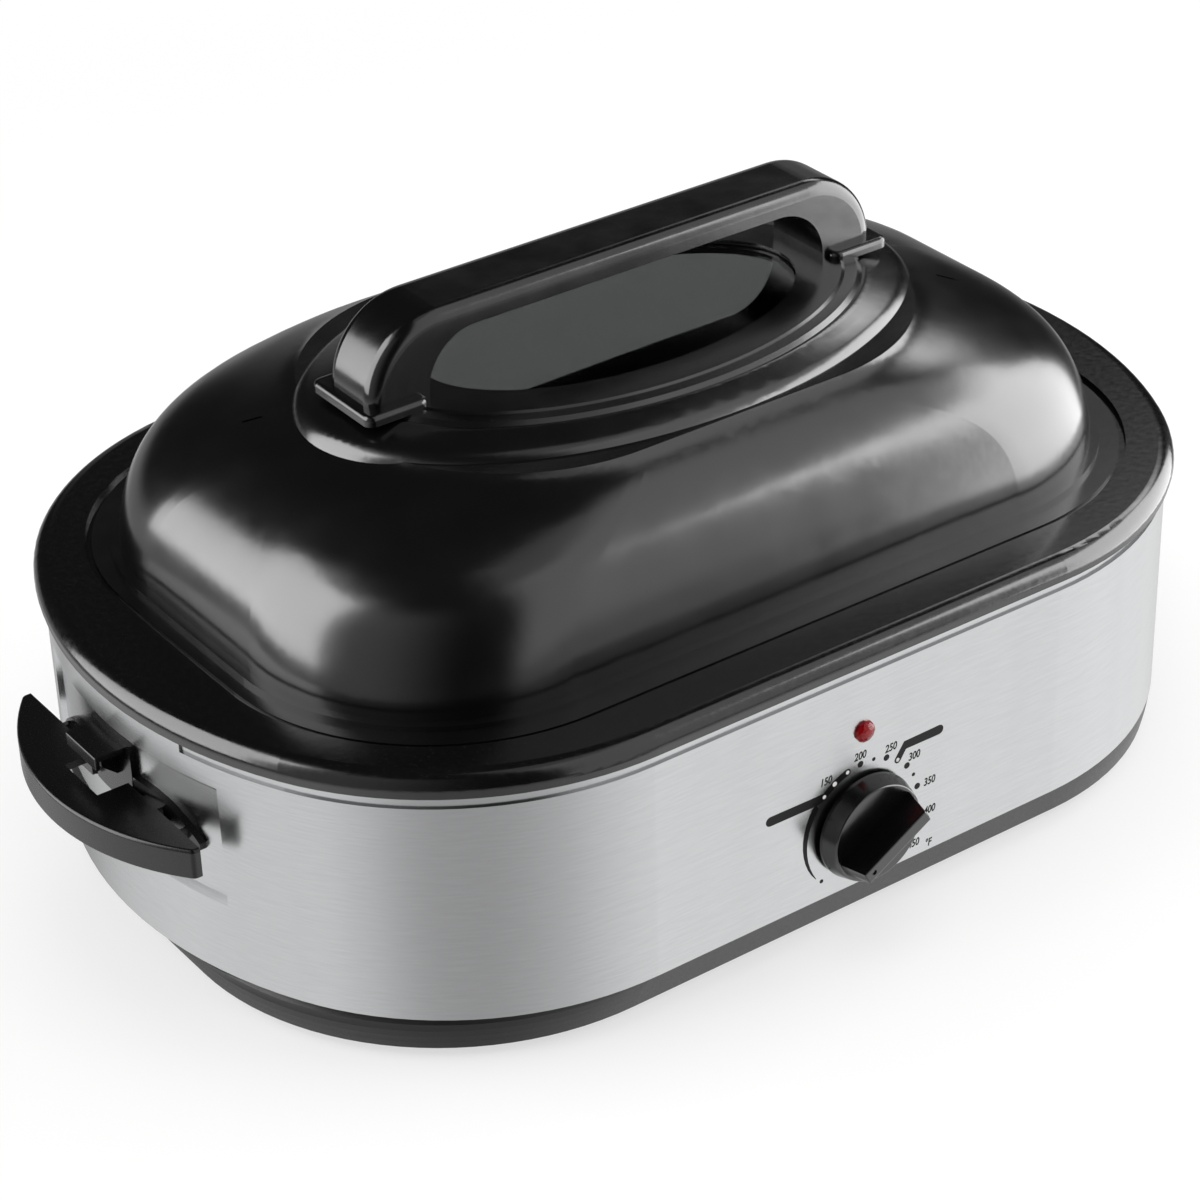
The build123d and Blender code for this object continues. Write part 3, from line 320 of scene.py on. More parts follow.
def screen_ink(name, colour):
    """Screen printed ink: a thin matt film, a little uneven in density."""
    material, tree, shader = new_material(name, {"IOR": 1.48, "Roughness": 0.3, "Specular IOR Level": 0.2})
    thin = [THIN_INK * share for share in colour[:3]] + [1.0]
    density = add_node(
        tree, "ShaderNodeMix", {"data_type": "RGBA", 6: colour, 7: thin}, {0: mottle(tree, 0.0006)}
    )
    tree.links.new(density.outputs[2], shader.inputs["Base Color"])
    return material


def finish_for(slot):
    """The one material that stands for a record slot, made the first time it is asked for."""
    name, settings, vary = recipes[slot]
    if name not in made_finishes:
        made_finishes[name], tree, shader = new_material(name, settings)
        vary(tree, shader)
    return made_finishes[name]


# ---------------------------------------------------------------- settings
def metres(name, description, default, **limits):
    """A setting that is a length."""
    return FloatProperty(name=name, description=description, default=default, unit="LENGTH", **limits)


def degrees(name, description, default):
    """A setting that is an angle; Blender keeps it in radians."""
    return FloatProperty(name=name, description=description, default=radians(default), unit="ROTATION")


def shade(name, description, default):
    """A setting that is a colour, from its sRGB hex value."""
    return FloatVectorProperty(
        name=name, description=description, default=linear(default), subtype="COLOR", size=4
    )


class STAGE_settings(bpy.types.PropertyGroup):
    """Camera, floor and lamps."""

    floor_colour: shade("Floor", "Floor colour", "#f4f4f3")
    floor_radius: metres("Floor radius", "Radius of the floor", 6.0, min=1.0)
    floor_glow: FloatProperty(
        name="Floor glow",
        description="Share of plain white in the floor where it is seen",
        default=0.62,
        min=0.0,
        max=1.0,
        subtype="FACTOR",
    )
    world_level: FloatProperty(
        name="World", description="Strength of the light from all round", default=0.5, min=0.0
    )
    target: FloatVectorProperty(
        name="Target",
        description="Point in the middle of the picture",
        default=(-0.01595, -0.00303, 0.08979),
        subtype="TRANSLATION",
    )
    azimuth: degrees("Azimuth", "Camera's bearing round Z", -34.934)
    elevation: degrees("Elevation", "Camera's angle above level", 31.538)
    roll: degrees("Roll", "Turn about the view axis", -1.69)
    distance: metres("Distance", "From camera to target", 1.59639)
    focal_mm: FloatProperty(
        name="Focal length", description="Lens on a 36 mm wide sensor", default=103.51, min=10.0
    )


# Each soft box as polished black pieces mirror it: name, bearing of its middle (0 is the front, 90
# the right), half its width, softness of its sides, lowest and highest angle, softness of its lower
# and upper edge, all in degrees, and its level, where 1 is white.
SOFT_BOXES = (
    ("left_wall", -117, 26, 8, -6, 60, 6, 6, 0.8),
    ("left_spill", -80, 30, 25, -18, 55, 6, 8, 0.3),
    ("right_wall", 49, 49, 6, -14, 66, 10, 5, 0.7),
    ("right_ceiling", 40, 46, 8, 64, 120, 5, 5, 0.35),
    ("back_lamp", 120, 12, 10, 31, 41, 4, 3, 3.6),
    ("back_strip", 148, 12, 8, -6, 20, 6, 6, 0.4),
    ("floor_right", 68, 52, 45, -120, -20, 5, 5, 0.72),
    ("floor_left", -108, 45, 25, -120, -20, 5, 5, 0.44),
    ("floor_all", 0, 180, 20, -120, -20, 5, 5, 0.5),
    ("far_floor", 180, 50, 25, -30, -4, 10, 6, 0.35),
)
ROOM_LEVEL = 0.015
SHADOW_REACH = (0.45, 1.1)  # the floor turns from shaded to plain white between these radii

# Upright soft boxes that stand round the object, as name, bearing in degrees, distance from the
# middle, height of the lower and upper edge, width and level, where 1 is white.
LAMPS = (
    ("left_soft_box", -117, 1.35, 0.0, 1.85, 1.25, 3.0),
    ("right_soft_box", 68, 1.35, -0.38, 1.30, 1.62, 3.9),
)
CEILING_SIZE = 1.4
CEILING_HEIGHT = 2.2
CEILING_WATTS = 12.0


def looked_at(tree):
    """A value that is 1 for what the eye sees, straight or through glass, and 0 for other rays."""
    path = add_node(tree, "ShaderNodeLightPath")
    seen = add_node(
        tree,
        "ShaderNodeMath",
        {"operation": "MAXIMUM"},
        {0: path.outputs["Is Camera Ray"], 1: path.outputs["Is Transmission Ray"]},
    )
    return seen


def mirrored_studio(tree):
    """The level of the soft boxes and the room in each direction."""
    place = add_node(tree, "ShaderNodeTexCoord")
    way = add_node(tree, "ShaderNodeSeparateXYZ", links={0: place.outputs["Generated"]})
    front = add_node(tree, "ShaderNodeMath", {"operation": "MULTIPLY", 1: -1.0}, {0: way.outputs[1]})
    bearing = add_node(tree, "ShaderNodeMath", {"operation": "ARCTAN2"}, {0: way, 1: front})
    rise = add_node(tree, "ShaderNodeMath", {"operation": "ARCSINE"}, {0: way.outputs[2]})
    total = add_node(tree, "ShaderNodeValue")
    total.outputs[0].default_value = ROOM_LEVEL
    for name, middle, half, side_soft, low, high, low_soft, high_soft, level in SOFT_BOXES:
        turned = add_node(
            tree, "ShaderNodeMath", {"operation": "SUBTRACT", 1: radians(middle)}, {0: bearing}
        )
        wrapped = add_node(tree, "ShaderNodeMath", {"operation": "WRAP", 1: pi, 2: -pi}, {0: turned})
        aside = add_node(tree, "ShaderNodeMath", {"operation": "ABSOLUTE"}, {0: wrapped})
        edges = [
            add_node(
                tree,
                "ShaderNodeMapRange",
                {
                    "interpolation_type": "SMOOTHSTEP",
                    "From Min": radians(dark),
                    "From Max": radians(bright),
                    "To Max": most,
                },
                {"Value": angle},
            )
            for angle, dark, bright, most in (
                (aside, half + side_soft, half - side_soft, level),
                (rise, low - low_soft, low + low_soft, 1.0),
                (rise, high + high_soft, high - high_soft, 1.0),
            )
        ]
        strip = add_node(tree, "ShaderNodeMath", {"operation": "MULTIPLY"}, {0: edges[0], 1: edges[1]})
        total = add_node(
            tree,
            "ShaderNodeMath",
            {"operation": "MULTIPLY_ADD", "label": name},
            {0: strip, 1: edges[2], 2: total},
        )
    return total


def add_camera(context, settings):
    """The camera looks at the target from a bearing and a height, rolled a little."""
    azimuth, elevation, roll = settings.azimuth, settings.elevation, settings.roll
    back = Vector((sin(azimuth) * cos(elevation), -cos(azimuth) * cos(elevation), sin(elevation)))
    level = Vector((cos(azimuth), sin(azimuth), 0))
    above = back.cross(level)
    right = level * cos(roll) + above * sin(roll)
    up = back.cross(right)
    lens = bpy.data.cameras.new("camera")
    lens.lens = settings.focal_mm
    camera = bpy.data.objects.new("camera", lens)
    place = Vector(settings.target) + back * settings.distance
    camera.matrix_world = Matrix.Translation(place) @ Matrix((right, up, back)).transposed().to_4x4()
    context.scene.collection.objects.link(camera)
    context.scene.camera = camera


def add_floor(context, settings):
    """A pale matt floor that looks white and still takes the shadow."""
    disc = bmesh.new()
    bmesh.ops.create_circle(disc, cap_ends=True, segments=96, radius=settings.floor_radius)
    mesh = finished_mesh("floor", disc)
    floor = bpy.data.objects.new("floor", mesh)
    context.scene.collection.objects.link(floor)
    # Mirrors see the floor as a part of the world, which is darker away from the soft boxes.
    floor.visible_glossy = False
    material, tree, board = new_material(
        "matt_white_board",
        {"Base Color": settings.floor_colour, "Roughness": 0.9, "Specular IOR Level": 0.0},
    )
    place = add_node(tree, "ShaderNodeTexCoord")
    reach = add_node(tree, "ShaderNodeVectorMath", {"operation": "LENGTH"}, {0: place.outputs["Object"]})
    white = add_node(
        tree,
        "ShaderNodeMapRange",
        {
            "interpolation_type": "SMOOTHSTEP",
            "From Min": SHADOW_REACH[0],
            "From Max": SHADOW_REACH[1],
            "To Min": settings.floor_glow,
        },
        {"Value": reach.outputs["Value"]},
    )
    share = add_node(tree, "ShaderNodeMath", {"operation": "MULTIPLY"}, {0: looked_at(tree), 1: white})
    glow = add_node(tree, "ShaderNodeEmission", {"Color": (1, 1, 1, 1), "Strength": 1.0})
    surface = add_node(tree, "ShaderNodeMixShader", links={0: share, 1: board, 2: glow})
    end = next(node for node in tree.nodes if node.type == "OUTPUT_MATERIAL")
    tree.links.new(surface.outputs[0], end.inputs["Surface"])
    mesh.materials.append(material)


def add_world(context, settings):
    """White where it is seen, soft boxes where it is mirrored, a plain level where it lights."""
    world = bpy.data.worlds.new("studio")
    world.use_nodes = True
    tree = world.node_tree
    tree.nodes.clear()
    path = add_node(tree, "ShaderNodeLightPath")
    mirrored = add_node(
        tree,
        "ShaderNodeMix",
        {2: settings.world_level},
        {0: path.outputs["Is Glossy Ray"], 3: mirrored_studio(tree)},
    )
    level = add_node(tree, "ShaderNodeMix", {3: 1.0}, {0: looked_at(tree), 2: mirrored})
    light = add_node(tree, "ShaderNodeBackground", {"Color": (1, 1, 1, 1)}, {"Strength": level})
    add_node(tree, "ShaderNodeOutputWorld", links={"Surface": light})
    context.scene.world = world


def hang_lamp(context, name, size, watts, place, turned=(0, 0, 0)):
    """A soft box that the camera doesn't see."""
    lamp = bpy.data.lights.new(name, "AREA")
    lamp.shape = "RECTANGLE"
    lamp.size, lamp.size_y = size
    lamp.energy = watts
    box = bpy.data.objects.new(name, lamp)
    box.location, box.rotation_euler = place, turned
    box.visible_camera = False
    context.scene.collection.objects.link(box)
    return box


def add_lamp(context, name, bearing, distance, low, high, width, level):
    """An upright soft box, its face to the object."""
    turn, height = radians(bearing), high - low
    place = (sin(turn) * distance, -cos(turn) * distance, (low + high) / 2)
    watts = level * pi * width * height
    box = hang_lamp(context, name, (width, height), watts, place, (pi / 2, 0, turn))
    box.visible_transmission = False
    # A flag keeps it off the steel wrap, whose drawn edges would flare.
    flagged = bpy.data.collections.new(name + "_flag")
    flagged.objects.link(frame["nodes"]["outer_shell"])
    box.light_linking.receiver_collection = flagged
    flagged.collection_objects[0].light_linking.link_state = "EXCLUDE"


def add_ceiling(context):
    """A dim soft box overhead, which mirrors don't see, to fill the shadows."""
    size, place = (CEILING_SIZE, CEILING_SIZE), (0, 0, CEILING_HEIGHT)
    box = hang_lamp(context, "ceiling_soft_box", size, CEILING_WATTS, place)
    box.visible_glossy = False


class STAGE_OT_build(bpy.types.Operator):
    """Make the camera, the floor, the lamps and the world"""

    bl_idname = "roaster.stage"
    bl_label = "Studio"

    def execute(self, context):
        settings = context.scene.roaster_stage
        add_camera(context, settings)
        add_floor(context, settings)
        add_world(context, settings)
        for lamp in LAMPS:
            add_lamp(context, *lamp)
        add_ceiling(context)
        context.scene.view_settings.view_transform = "Standard"
        return {"FINISHED"}


class FINISH_OT_apply(bpy.types.Operator):
    """Give every CAD piece the finish of its record slot"""

    bl_idname = "roaster.finishes"
    bl_label = "Finishes"

    def execute(self, context):
        for part in frame["record"]["subparts"]:
            node = frame["nodes"][part["node"]]
            for place in node.material_slots:
                place.material = finish_for(part["material_slot"])
        return {"FINISHED"}


# ---------------------------------------------------------------- rules that repeat a shape
def new_rule(name, sizes):
    """A Geometry Nodes tree with a named input for each size; returns it and those inputs."""
    tree = bpy.data.node_groups.new(name, "GeometryNodeTree")
    tree.interface.new_socket("Geometry", in_out="OUTPUT", socket_type="NodeSocketGeometry")
    tree.interface.new_socket("Geometry", in_out="INPUT", socket_type="NodeSocketGeometry")
    tree.interface.new_socket("Finish", in_out="INPUT", socket_type="NodeSocketMaterial")
    for label, size in sizes.items():
        kind = "NodeSocketInt" if isinstance(size, int) else "NodeSocketFloat"
        tree.interface.new_socket(label, in_out="INPUT", socket_type=kind).default_value = size
    return tree, add_node(tree, "NodeGroupInput").outputs


def clock_angles(tree, given):
    """The angle of each copy in turn, by the inputs First and Step."""
    order = add_node(tree, "GeometryNodeInputIndex")
    return add_node(
        tree,
        "ShaderNodeMath",
        {"operation": "MULTIPLY_ADD"},
        {0: order, 1: given["Step"], 2: given["First"]},
    )


SHARP_EDGE = radians(32)  # edges that bend by more stay crisp


def end_rule(tree, given, shapes):
    """Make the copies real, soften all but the sharp edges, and give them their finish."""
    real = add_node(tree, "GeometryNodeRealizeInstances", links={0: shapes})
    bend = add_node(tree, "GeometryNodeInputMeshEdgeAngle")
    sharp = add_node(tree, "FunctionNodeCompare", {"operation": "GREATER_THAN", 1: SHARP_EDGE}, {0: bend})
    edged = add_node(
        tree,
        "GeometryNodeSetShadeSmooth",
        {"domain": "EDGE", "Shade Smooth": False},
        {"Geometry": real, "Selection": sharp},
    )
    finished = add_node(
        tree, "GeometryNodeSetMaterial", links={"Geometry": edged, "Material": given["Finish"]}
    )
    add_node(tree, "NodeGroupOutput", links={0: finished})


def grow(name, rule, sizes, finish, spots=(), ways=()):
    """Run a rule on a set of spots and the way each one points, and return a plain mesh."""
    seeds = bpy.data.meshes.new(name + "_spots")
    seeds.from_pydata([tuple(spot) for spot in spots], [], [])
    if ways:
        field = seeds.attributes.new("way", "FLOAT_VECTOR", "POINT")
        field.data.foreach_set("vector", [share for way in ways for share in way])
    host = bpy.data.objects.new(name, seeds)
    maker = host.modifiers.new(name, "NODES")
    maker.node_group = rule
    given = {**sizes, "Finish": finish}
    for socket in rule.interface.items_tree:
        if socket.name in given:
            maker[socket.identifier] = given[socket.name]
    bpy.context.scene.collection.objects.link(host)
    mesh = bpy.data.meshes.new_from_object(host.evaluated_get(bpy.context.evaluated_depsgraph_get()))
    host.modifiers.remove(maker)
    bpy.data.objects.remove(host)
    bpy.data.meshes.remove(seeds)
    mesh.name = name
    return mesh


def place_piece(mesh, name, body, finish, replaces=()):
    """Make a finished piece from a mesh whose points are already in the frame."""
    if not mesh.polygons:
        raise RuntimeError(name + " came out empty")
    piece = bpy.data.objects.new(name, mesh)
    bpy.context.scene.collection.objects.link(piece)
    mesh.materials.clear()
    mesh.materials.append(finish)
    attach(piece, body)
    if replaces:
        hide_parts(*replaces)
    return piece


def facing_panel(x, z, proud):
    """Turns a flat shape drawn in X and Y to stand on the control panel, its front to -Y."""
    place = Matrix.Translation((KNOB_AXIS.x + x, PANEL_Y - proud, KNOB_AXIS.z + z))
    return place @ Matrix.Rotation(pi / 2, 4, "X")


def on_clock(angle, radius):
    """The point at a clock angle, in radians, seen from the front."""
    return Vector((sin(angle) * radius, cos(angle) * radius))


# ---------------------------------------------------------------- dial print
class DIAL_settings(bpy.types.PropertyGroup):
    """The print round the control knob."""

    digit_height: metres("Digit height", "Height of the printed numbers", 0.004)
    dot_circle: metres("Dot circle", "Radius of the ring of dots", 0.0314)
    dot_size: metres("Dot", "Radius of a dot beside a number", 0.0016)
    small_dot_size: metres("Small dot", "Radius of a dot between numbers", 0.00095)
    first_angle: degrees("First angle", "Clock angle of 200", -3.4)
    step_angle: degrees("Step", "Turn from one number to the next", 27.4)
    film: metres("Film", "Thickness of the ink", 0.00005)
    dark_ink: shade("Ink", "Colour of the ink", "#101010")
    pale_ink: shade("Pale ink", "Colour inside the bars", "#e2e2e0")


def ink(name, colour):
    """The one material for an ink."""
    if name not in made_finishes:
        made_finishes[name] = screen_ink(name, colour[:])
    return made_finishes[name]


# Each number's text and the middle of it, in mm right of and above the knob's axis.
NUMBERS_MM = (
    ("150", -21.0, 30.2),
    ("200", -2.1, 35.6),
    ("250", 15.1, 32.9),
    ("300", 28.5, 23.2),
    ("350", 37.7, 6.0),
    ("400", 38.2, -9.6),
    ("450", 29.4, -24.3),
    ("°F", 38.0, -27.6),
)
FONT_DIGIT = 0.73  # height of the font's digits at size 1
TYPE_WIDTH = 0.8  # the type is narrower than the font
TYPE_SLANT = 0.18
TYPE_WEIGHT = 0.12 * MM  # and bolder

# The straight stretch of each bar from its outer end, in mm right of and above the knob's axis, and
# its width there.  The rest follows the ring of dots to the clock angles given.
LOW_BAR_MM = ((-51.2, 22.4), (-24.6, 22.1))
LOW_BAR_WIDTHS_MM = (4.8, 4.8)
LOW_BAR_ANGLES = (-43, -36.5, -30, -23.5, -16.7)
LOW_BAR_RING_MM = 3.5
THAW_BAR_MM = ((42.6, 31.0), (23.2, 30.9))
THAW_BAR_WIDTHS_MM = (4.8, 4.5)
THAW_BAR_ANGLE = 37.6
THAW_BAR_RING_MM = 3.6
# The low-heat arc: its radius, clock angle of its thin end, its steps, and its two widths.
ARC_RADIUS = 32.2 * MM
ARC_START = -126
ARC_STEP = 7
ARC_STEPS = 10
ARC_THIN_MM = 0.3
ARC_GROWTH_MM = 3.2
ARC_SWELL = 0.7  # below 1, it widens fastest at its thin end

# Clock angles of the dots that aren't beside a number, in degrees.
SMALL_DOTS = (10.3, 54.7)  # the first and the step to the next
OFF_DOT = -133.4
LOW_BAR_DOTS = (-43.9, 27.2)
OFF_DOT_RADIUS = 1.0 * MM
PALE_DOT_RADIUS = 1.2 * MM


def joined(name, meshes):
    """One mesh out of several."""
    whole = bmesh.new()
    for mesh in meshes:
        whole.from_mesh(mesh)
    return finished_mesh(name, whole)


def film_mesh(outline, film):
    """A flat shape with the thickness of the ink, from the points of its outline."""
    shape = bmesh.new()
    front = shape.faces.new([shape.verts.new((point.x, point.y, 0)) for point in outline])
    grown = bmesh.ops.extrude_face_region(shape, geom=[front])["geom"]
    for vert in grown:
        if isinstance(vert, bmesh.types.BMVert):
            vert.co.z = film
    bmesh.ops.recalc_face_normals(shape, faces=shape.faces)
    return finished_mesh("film", shape)


def round_end(point, side, steps=7):
    """Points of a half circle round the end of a path, clockwise from one side to the other."""
    out = Vector((side.y, -side.x))
    angles = [pi * step / steps for step in range(1, steps)]
    return [point + side * cos(angle) + out * sin(angle) for angle in angles]


def bar_outline(path, widths):
    """Outline of a bar with round ends that follows a path, as wide at each point as told."""
    left, right = [], []
    for place, (point, width) in enumerate(zip(path, widths)):
        along = (path[min(place + 1, len(path) - 1)] - path[max(place - 1, 0)]).normalized()
        across = Vector((-along.y, along.x)) * width / 2
        left.append(point + across)
        right.append(point - across)
    far_end = round_end(path[-1], left[-1] - path[-1])
    near_end = round_end(path[0], right[0] - path[0])
    return left + far_end + right[::-1] + near_end


class DIAL_OT_numbers(bpy.types.Operator):
    """Print the temperatures beside their dots"""

    bl_idname = "roaster.dial_numbers"
    bl_label = "Dial numbers"

    def execute(self, context):
        settings = context.scene.roaster_dial
        finish = ink("dark_screen_ink", settings.dark_ink)
        squeeze = Matrix.Diagonal((TYPE_WIDTH, 1, 1, 1))
        numbers = []
        for text, x, z in NUMBERS_MM:
            lettering = bpy.data.curves.new("number", "FONT")
            lettering.body = text
            lettering.size = settings.digit_height / FONT_DIGIT
            lettering.shear = TYPE_SLANT
            lettering.offset = TYPE_WEIGHT
            lettering.extrude = settings.film / 2
            lettering.align_x = "CENTER"
            lettering.align_y = "CENTER"
            holder = bpy.data.objects.new("number", lettering)
            context.scene.collection.objects.link(holder)
            flat = bpy.data.meshes.new_from_object(holder.evaluated_get(context.evaluated_depsgraph_get()))
            bpy.data.objects.remove(holder)
            flat.transform(facing_panel(x * MM, z * MM, settings.film / 2) @ squeeze)
            numbers.append(flat)
        mesh = joined("dial_numbers", numbers)
        place_piece(mesh, "dial_numbers", "base", finish)
        return {"FINISHED"}


class DIAL_OT_bars(bpy.types.Operator):
    """Print the two plain bars and the tapered low-heat arc"""

    bl_idname = "roaster.dial_bars"
    bl_label = "Dial bars"

    def execute(self, context):
        settings = context.scene.roaster_dial
        finish = ink("dark_screen_ink", settings.dark_ink)
        shapes = []
        for straight, angles, widths, ring_width in (
            (LOW_BAR_MM, LOW_BAR_ANGLES, LOW_BAR_WIDTHS_MM, LOW_BAR_RING_MM),
            (THAW_BAR_MM, (THAW_BAR_ANGLE,), THAW_BAR_WIDTHS_MM, THAW_BAR_RING_MM),
        ):
            path = [Vector(point) * MM for point in straight]
            path += [on_clock(radians(angle), settings.dot_circle) for angle in angles]
            widths_mm = [*widths] + [ring_width] * len(angles)
            shapes.append(bar_outline(path, [width * MM for width in widths_mm]))
        steps = range(ARC_STEPS + 1)
        arc = [on_clock(radians(ARC_START + ARC_STEP * step), ARC_RADIUS) for step in steps]
        arc_widths = [
            (ARC_THIN_MM + ARC_GROWTH_MM * (step / ARC_STEPS) ** ARC_SWELL) * MM for step in steps
        ]
        shapes.append(bar_outline(arc, arc_widths))
        mesh = joined("dial_bars", [film_mesh(outline, settings.film) for outline in shapes])
        mesh.transform(facing_panel(0, 0, 0))
        place_piece(mesh, "dial_bars", "base", finish)
        return {"FINISHED"}


def dot_rule():
    """Dots at equal steps of the clock on a circle."""
    tree, given = new_rule(
        "dial_dots", {"Count": 6, "Circle": 0.03, "First": 0.0, "Step": 0.5, "Dot": 0.001, "Film": 0.00005}
    )
    turn = clock_angles(tree, given)
    sides = []
    for way in ("SINE", "COSINE"):
        share = add_node(tree, "ShaderNodeMath", {"operation": way}, {0: turn})
        sides.append(
            add_node(tree, "ShaderNodeMath", {"operation": "MULTIPLY"}, {0: share, 1: given["Circle"]})
        )
    lift = add_node(tree, "ShaderNodeMath", {"operation": "MULTIPLY", 1: 0.5}, {0: given["Film"]})
    spot = add_node(tree, "ShaderNodeCombineXYZ", links={0: sides[0], 1: sides[1], 2: lift})
    spots = add_node(tree, "GeometryNodePoints", links={"Count": given["Count"], "Position": spot})
    dot = add_node(
        tree,
        "GeometryNodeMeshCylinder",
        {"Vertices": 24},
        {"Radius": given["Dot"], "Depth": given["Film"]},
    )
    dots = add_node(tree, "GeometryNodeInstanceOnPoints", links={"Points": spots, "Instance": dot})
    end_rule(tree, given, dots)
    return tree


class DIAL_OT_dots(bpy.types.Operator):
    """Print the dots, dark on the steel and pale in the bars"""

    bl_idname = "roaster.dial_dots"
    bl_label = "Dial dots"

    def execute(self, context):
        settings = context.scene.roaster_dial
        rule = dot_rule()
        small = settings.small_dot_size
        before = settings.first_angle - settings.step_angle
        # Each group of dots: how many, clock angle of the first, step to the next, radius.
        dark = (
            (len(NUMBERS_MM) - 2, settings.first_angle, settings.step_angle, settings.dot_size),
            (2, *map(radians, SMALL_DOTS), small),
            (1, radians(OFF_DOT), 0.0, OFF_DOT_RADIUS),
        )
        pale = (
            (1, before, 0.0, PALE_DOT_RADIUS),
            (2, *map(radians, LOW_BAR_DOTS), small),
            (1, radians(THAW_BAR_ANGLE), 0.0, small),
        )
        for name, groups, colour, proud in (
            ("dark", dark, settings.dark_ink, 0.0), ("pale", pale, settings.pale_ink, settings.film)
        ):
            finish = ink(name + "_screen_ink", colour)
            shared = {"Circle": settings.dot_circle, "Film": settings.film}
            fields = ("Count", "First", "Step", "Dot")
            dots = [grow("dots", rule, {**shared, **dict(zip(fields, group))}, finish) for group in groups]
            mesh = joined("dial_dots_" + name, dots)
            mesh.transform(facing_panel(0, 0, proud))
            place_piece(mesh, "dial_dots_" + name, "base", finish)
        return {"FINISHED"}


# ---------------------------------------------------------------- knob marks
class KNOB_settings(bpy.types.PropertyGroup):
    """The marks on the knob's skirt."""

    marks: IntProperty(name="Marks", description="Number of raised marks on the skirt", default=5, min=1)
    first_angle: degrees("First mark", "Clock angle of the first mark", -26)
    step_angle: degrees("Step", "Turn from one mark to the next", 12)
    mark_length: metres("Length", "Length of a mark along the skirt", 0.003)
    mark_width: metres("Width", "Width of a mark round the skirt", 0.0009)


# The skirt leans in by 2.1 mm over its 8.9 mm height.  The marks sit half way up it.
SKIRT_LEAN = atan(2.1 / 8.9)
SKIRT_RADIUS = 24.6 * MM
SKIRT_OUT = 6.2 * MM
MARK_HEIGHT = 0.5 * MM  # half of it is sunk in the skirt


class KNOB_OT_marks(bpy.types.Operator):
    """Raise the marks on the knob's skirt"""

    bl_idname = "roaster.knob_marks"
    bl_label = "Knob marks"

    def execute(self, context):
        settings = context.scene.roaster_knob
        tree, given = new_rule(
            "knob_marks", {"Count": 5, "First": 0.0, "Step": 0.2, "Length": 0.003, "Width": 0.0005}
        )
        turn = clock_angles(tree, given)
        spots = add_node(tree, "GeometryNodePoints", links={"Count": given["Count"]})
        size = add_node(
            tree, "ShaderNodeCombineXYZ", {2: MARK_HEIGHT}, {0: given["Width"], 1: given["Length"]}
        )
        bar = add_node(tree, "GeometryNodeMeshCube", links={"Size": size})
        leant = add_node(
            tree,
            "GeometryNodeTransform",
            {"Translation": (0, -SKIRT_OUT, SKIRT_RADIUS), "Rotation": (SKIRT_LEAN, 0, 0)},
            {"Geometry": bar},
        )
        way = add_node(tree, "ShaderNodeCombineXYZ", links={1: turn})
        bars = add_node(
            tree,
            "GeometryNodeInstanceOnPoints",
            links={"Points": spots, "Instance": leant, "Rotation": way},
        )
        end_rule(tree, given, bars)
        finish = finish_for("knob_plastic")
        sizes = {
            "Count": settings.marks,
            "First": settings.first_angle,
            "Step": settings.step_angle,
            "Length": settings.mark_length,
            "Width": settings.mark_width,
        }
        mesh = grow("knob_marks", tree, sizes, finish)
        mesh.transform(Matrix.Translation((KNOB_AXIS.x, PANEL_Y, KNOB_AXIS.z)))
        place_piece(mesh, "knob_marks", "knob", finish)
        return {"FINISHED"}


# ---------------------------------------------------------------- screws
class SCREW_settings(bpy.types.PropertyGroup):
    """The M4 cross-recess pan-head screws."""

    head_radius: metres("Head", "Radius of a screw's head", 0.0039)
    shank_radius: metres("Shank", "Radius of a screw's thread", 0.00195)
    pitch: metres("Pitch", "From one turn of the thread to the next", 0.0007)


def mirrored_spots(x, y, z):
    """A spot and its mirror image left of the middle."""
    return [Vector((x, y, z)) * MM, Vector((-x, y, z)) * MM]


MID_Y_MM = 6.0  # the body's middle
HEAD_SIDES = 40
HEAD_FALL = 0.5  # how far the head's edge lies below its crown, as a share of its height
RECESS_LENGTH = 1.15  # in head radii
RECESS_WIDTH = 0.24
RECESS_SHIFT = 0.4  # how far each slot is moved out of the head, as a share of its height
ROOT_SHARE = 0.86  # the thread's root, as a share of its radius
RIDGE_SHARE = 0.38  # radius of the thread's ridge, as a share of the pitch

# Each set replaces one CAD node: node, body, height of the head and reach of the shank in mm,
# the spots under the heads, and the way each screw is driven.
SCREW_SETS = (
    (
        "foot_screws",
        "base",
        2.2,
        12.0,
        mirrored_spots(185, MID_Y_MM - 105, 3.0) + mirrored_spots(185, MID_Y_MM + 105, 3.0),
        [(0, 0, 1)] * 4,
    ),
    ("thermostat_screws", "base", 1.8, 7.0, mirrored_spots(14, -175, 53.2), [(0, 1, 0)] * 2),
    (
        "side_handle_screws",
        "base",
        2.6,
        6.0,
        [
            spot
            for y, z in ((-32, 90), (32, 90), (0, 104))
            for spot in mirrored_spots(262.0, MID_Y_MM + y, z)
        ],
        [(1, 0, 0), (-1, 0, 0)] * 3,
    ),
    ("lid_handle_screws", "lid", 3.0, 20.2, mirrored_spots(114, MID_Y_MM, 227.8), [(0, 0, 1)] * 2),
)


